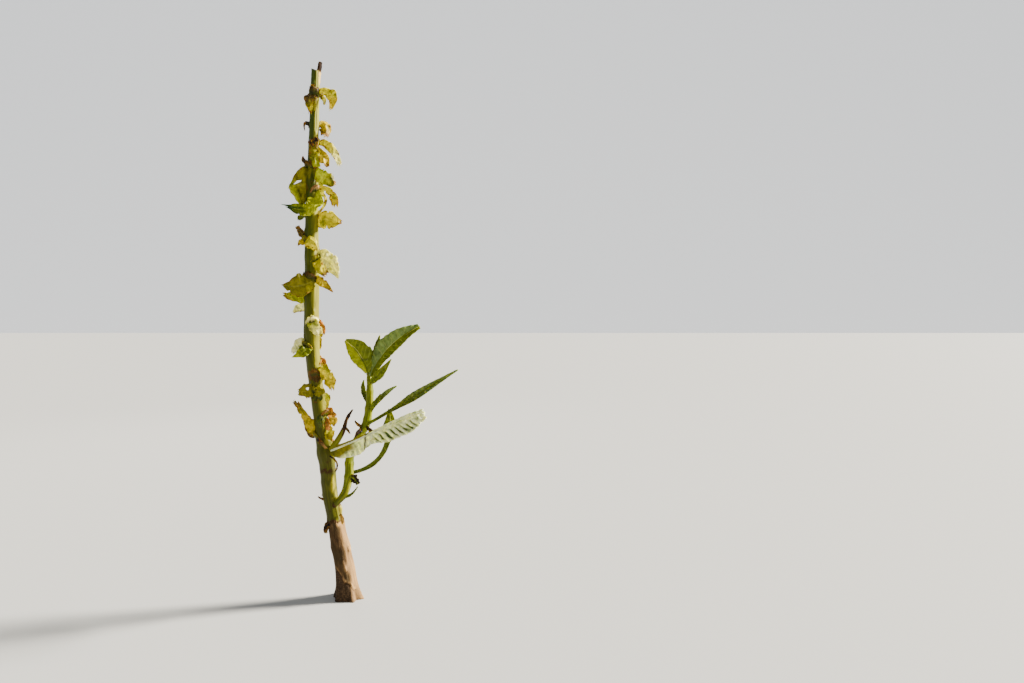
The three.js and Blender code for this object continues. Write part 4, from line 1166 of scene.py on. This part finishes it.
# The plant
stalkSkin = stemMaterial()
leafSkin = leafMaterial()
pieceFrom("stalk", [stemPatch(), splinterPatch()], stalkSkin, "stem")
print("stem made")
pieceFrom("sideShootLimb", [shootPatch()], stalkSkin, "side_shoot")
pieceFrom("deadShootStub", [deadShootPatch()], stalkSkin, "dead_shoot")
print("shoots made")
for own in shootLeaves:
    leaf = {**leafLook, **own}
    node = leaf["name"]
    patches = [sheetPatch(leaf), midribPatch(leaf)]
    pieceFrom(node + "_blade", patches, leafSkin, node)
print("shoot leaves made:", len(shootLeaves))
for number, item in enumerate(remains, 1):
    node = f"leaf_remnant_{number:02d}"
    pieceFrom(node + "_torn", remnantPatches(item), leafSkin, node)
print("torn leaf bases made:", len(remains))
scraps = [sheetPatch({**scrapLook, **scrap}) for scrap in driedScraps]
pieceFrom("driedScraps", scraps, leafSkin, None)
print("dried scraps made:", len(scraps))


# Floor, light and camera
studio = {
    "floor": 40.0,  # metres across
    "pale": screen(158, 157, 154),
    "dull": 0.9,
    "sky": (0.88, 0.92, 0.97, 1.0),
    "skyStrength": 0.44,
    "wall": {"away": 18.0, "tall": 14.0, "glow": (0.86, 0.89, 0.93, 1.0), "strength": 1.0},
    "sun": {"place": (2.4, 0.66, 1.9), "aim": (0, 0, 0.55), "strength": 28, "angle": 11,
            "tint": (1.0, 0.95, 0.84)},
    # name, place, aim, size in metres, watts, colour
    "lamps": [("fill", (-1.9, -2.2, 1.6), (0, 0, 0.5), 2.4, 7, (0.92, 0.96, 1.0)),
              ("back", (-1.2, 2.3, 1.8), (0, 0, 0.6), 1.4, 24, (1.0, 1.0, 0.96))],
}
view = {"place": (0.343, -1.400, 0.594), "down": 2.47, "lens": 24, "sensor": 36, "far": 60}


def squareCorners(away):
    return [(x * away, y * away) for x, y in ((-1, -1), (1, -1), (1, 1), (-1, 1))]


def palePiece(name, materialName, points, faces, **more):
    mesh = bpy.data.meshes.new(name)
    mesh.from_pydata(points, [], faces)
    material, _, shader = newMaterial(materialName)
    inputs = {"Base Color": studio["pale"], "Roughness": studio["dull"], **more}
    for key, value in inputs.items():
        shader.inputs[key].default_value = value
    mesh.materials.append(material)
    return placed(name, mesh)


def hungLamp(lamp, place, aim):
    lampObject = placed(lamp.name, lamp)
    lampObject.location = place
    lampObject.rotation_euler = (Vector(aim) - Vector(place)).to_track_quat("-Z", "Y").to_euler()
    return lampObject


ground = [(x, y, 0) for x, y in squareCorners(studio["floor"] / 2)]
floor = palePiece("studioFloor", "paleFloor", ground, [(0, 1, 2, 3)])

# Four pale walls that only the camera sees, so every view has the same plain ground behind the plant
wall = studio["wall"]
corners = [(x, y, z) for z in (0, wall["tall"]) for x, y in squareCorners(wall["away"])]
glow = {"Emission Color": wall["glow"], "Emission Strength": wall["strength"]}
backdrop = palePiece("studioBackdrop", "paleBackdrop", corners, gridFaces(2, 4, around=True), **glow)
backdrop.visible_shadow = backdrop.visible_diffuse = backdrop.visible_glossy = False

sun = bpy.data.lights.new("key", "SUN")
sun.energy = studio["sun"]["strength"]
sun.angle = math.radians(studio["sun"]["angle"])
sun.color = studio["sun"]["tint"]
keyLamp = hungLamp(sun, studio["sun"]["place"], studio["sun"]["aim"])
unlit = bpy.data.collections.new("outOfTheKey")  # the key would whiten two of the four walls
unlit.objects.link(backdrop)
unlit.collection_objects[0].light_linking.link_state = "EXCLUDE"
keyLamp.light_linking.receiver_collection = unlit
for name, place, aim, size, watts, colour in studio["lamps"]:
    lamp = bpy.data.lights.new(name, "AREA")
    lamp.size, lamp.energy, lamp.color = size, watts, colour
    hungLamp(lamp, place, aim)
world = bpy.data.worlds.new("paleSky")
world.use_nodes = True
sky = world.node_tree.nodes["Background"]
sky.inputs["Color"].default_value = studio["sky"]
sky.inputs["Strength"].default_value = studio["skyStrength"]
bpy.context.scene.world = world

cameraData = bpy.data.cameras.new("photoCamera")
cameraData.lens, cameraData.sensor_width = view["lens"], view["sensor"]
cameraData.clip_end = view["far"]
photoCamera = placed("photoCamera", cameraData)
photoCamera.location = view["place"]
photoCamera.rotation_euler = (math.radians(90 - view["down"]), 0, 0)
bpy.context.scene.camera = photoCamera
print("stage set")
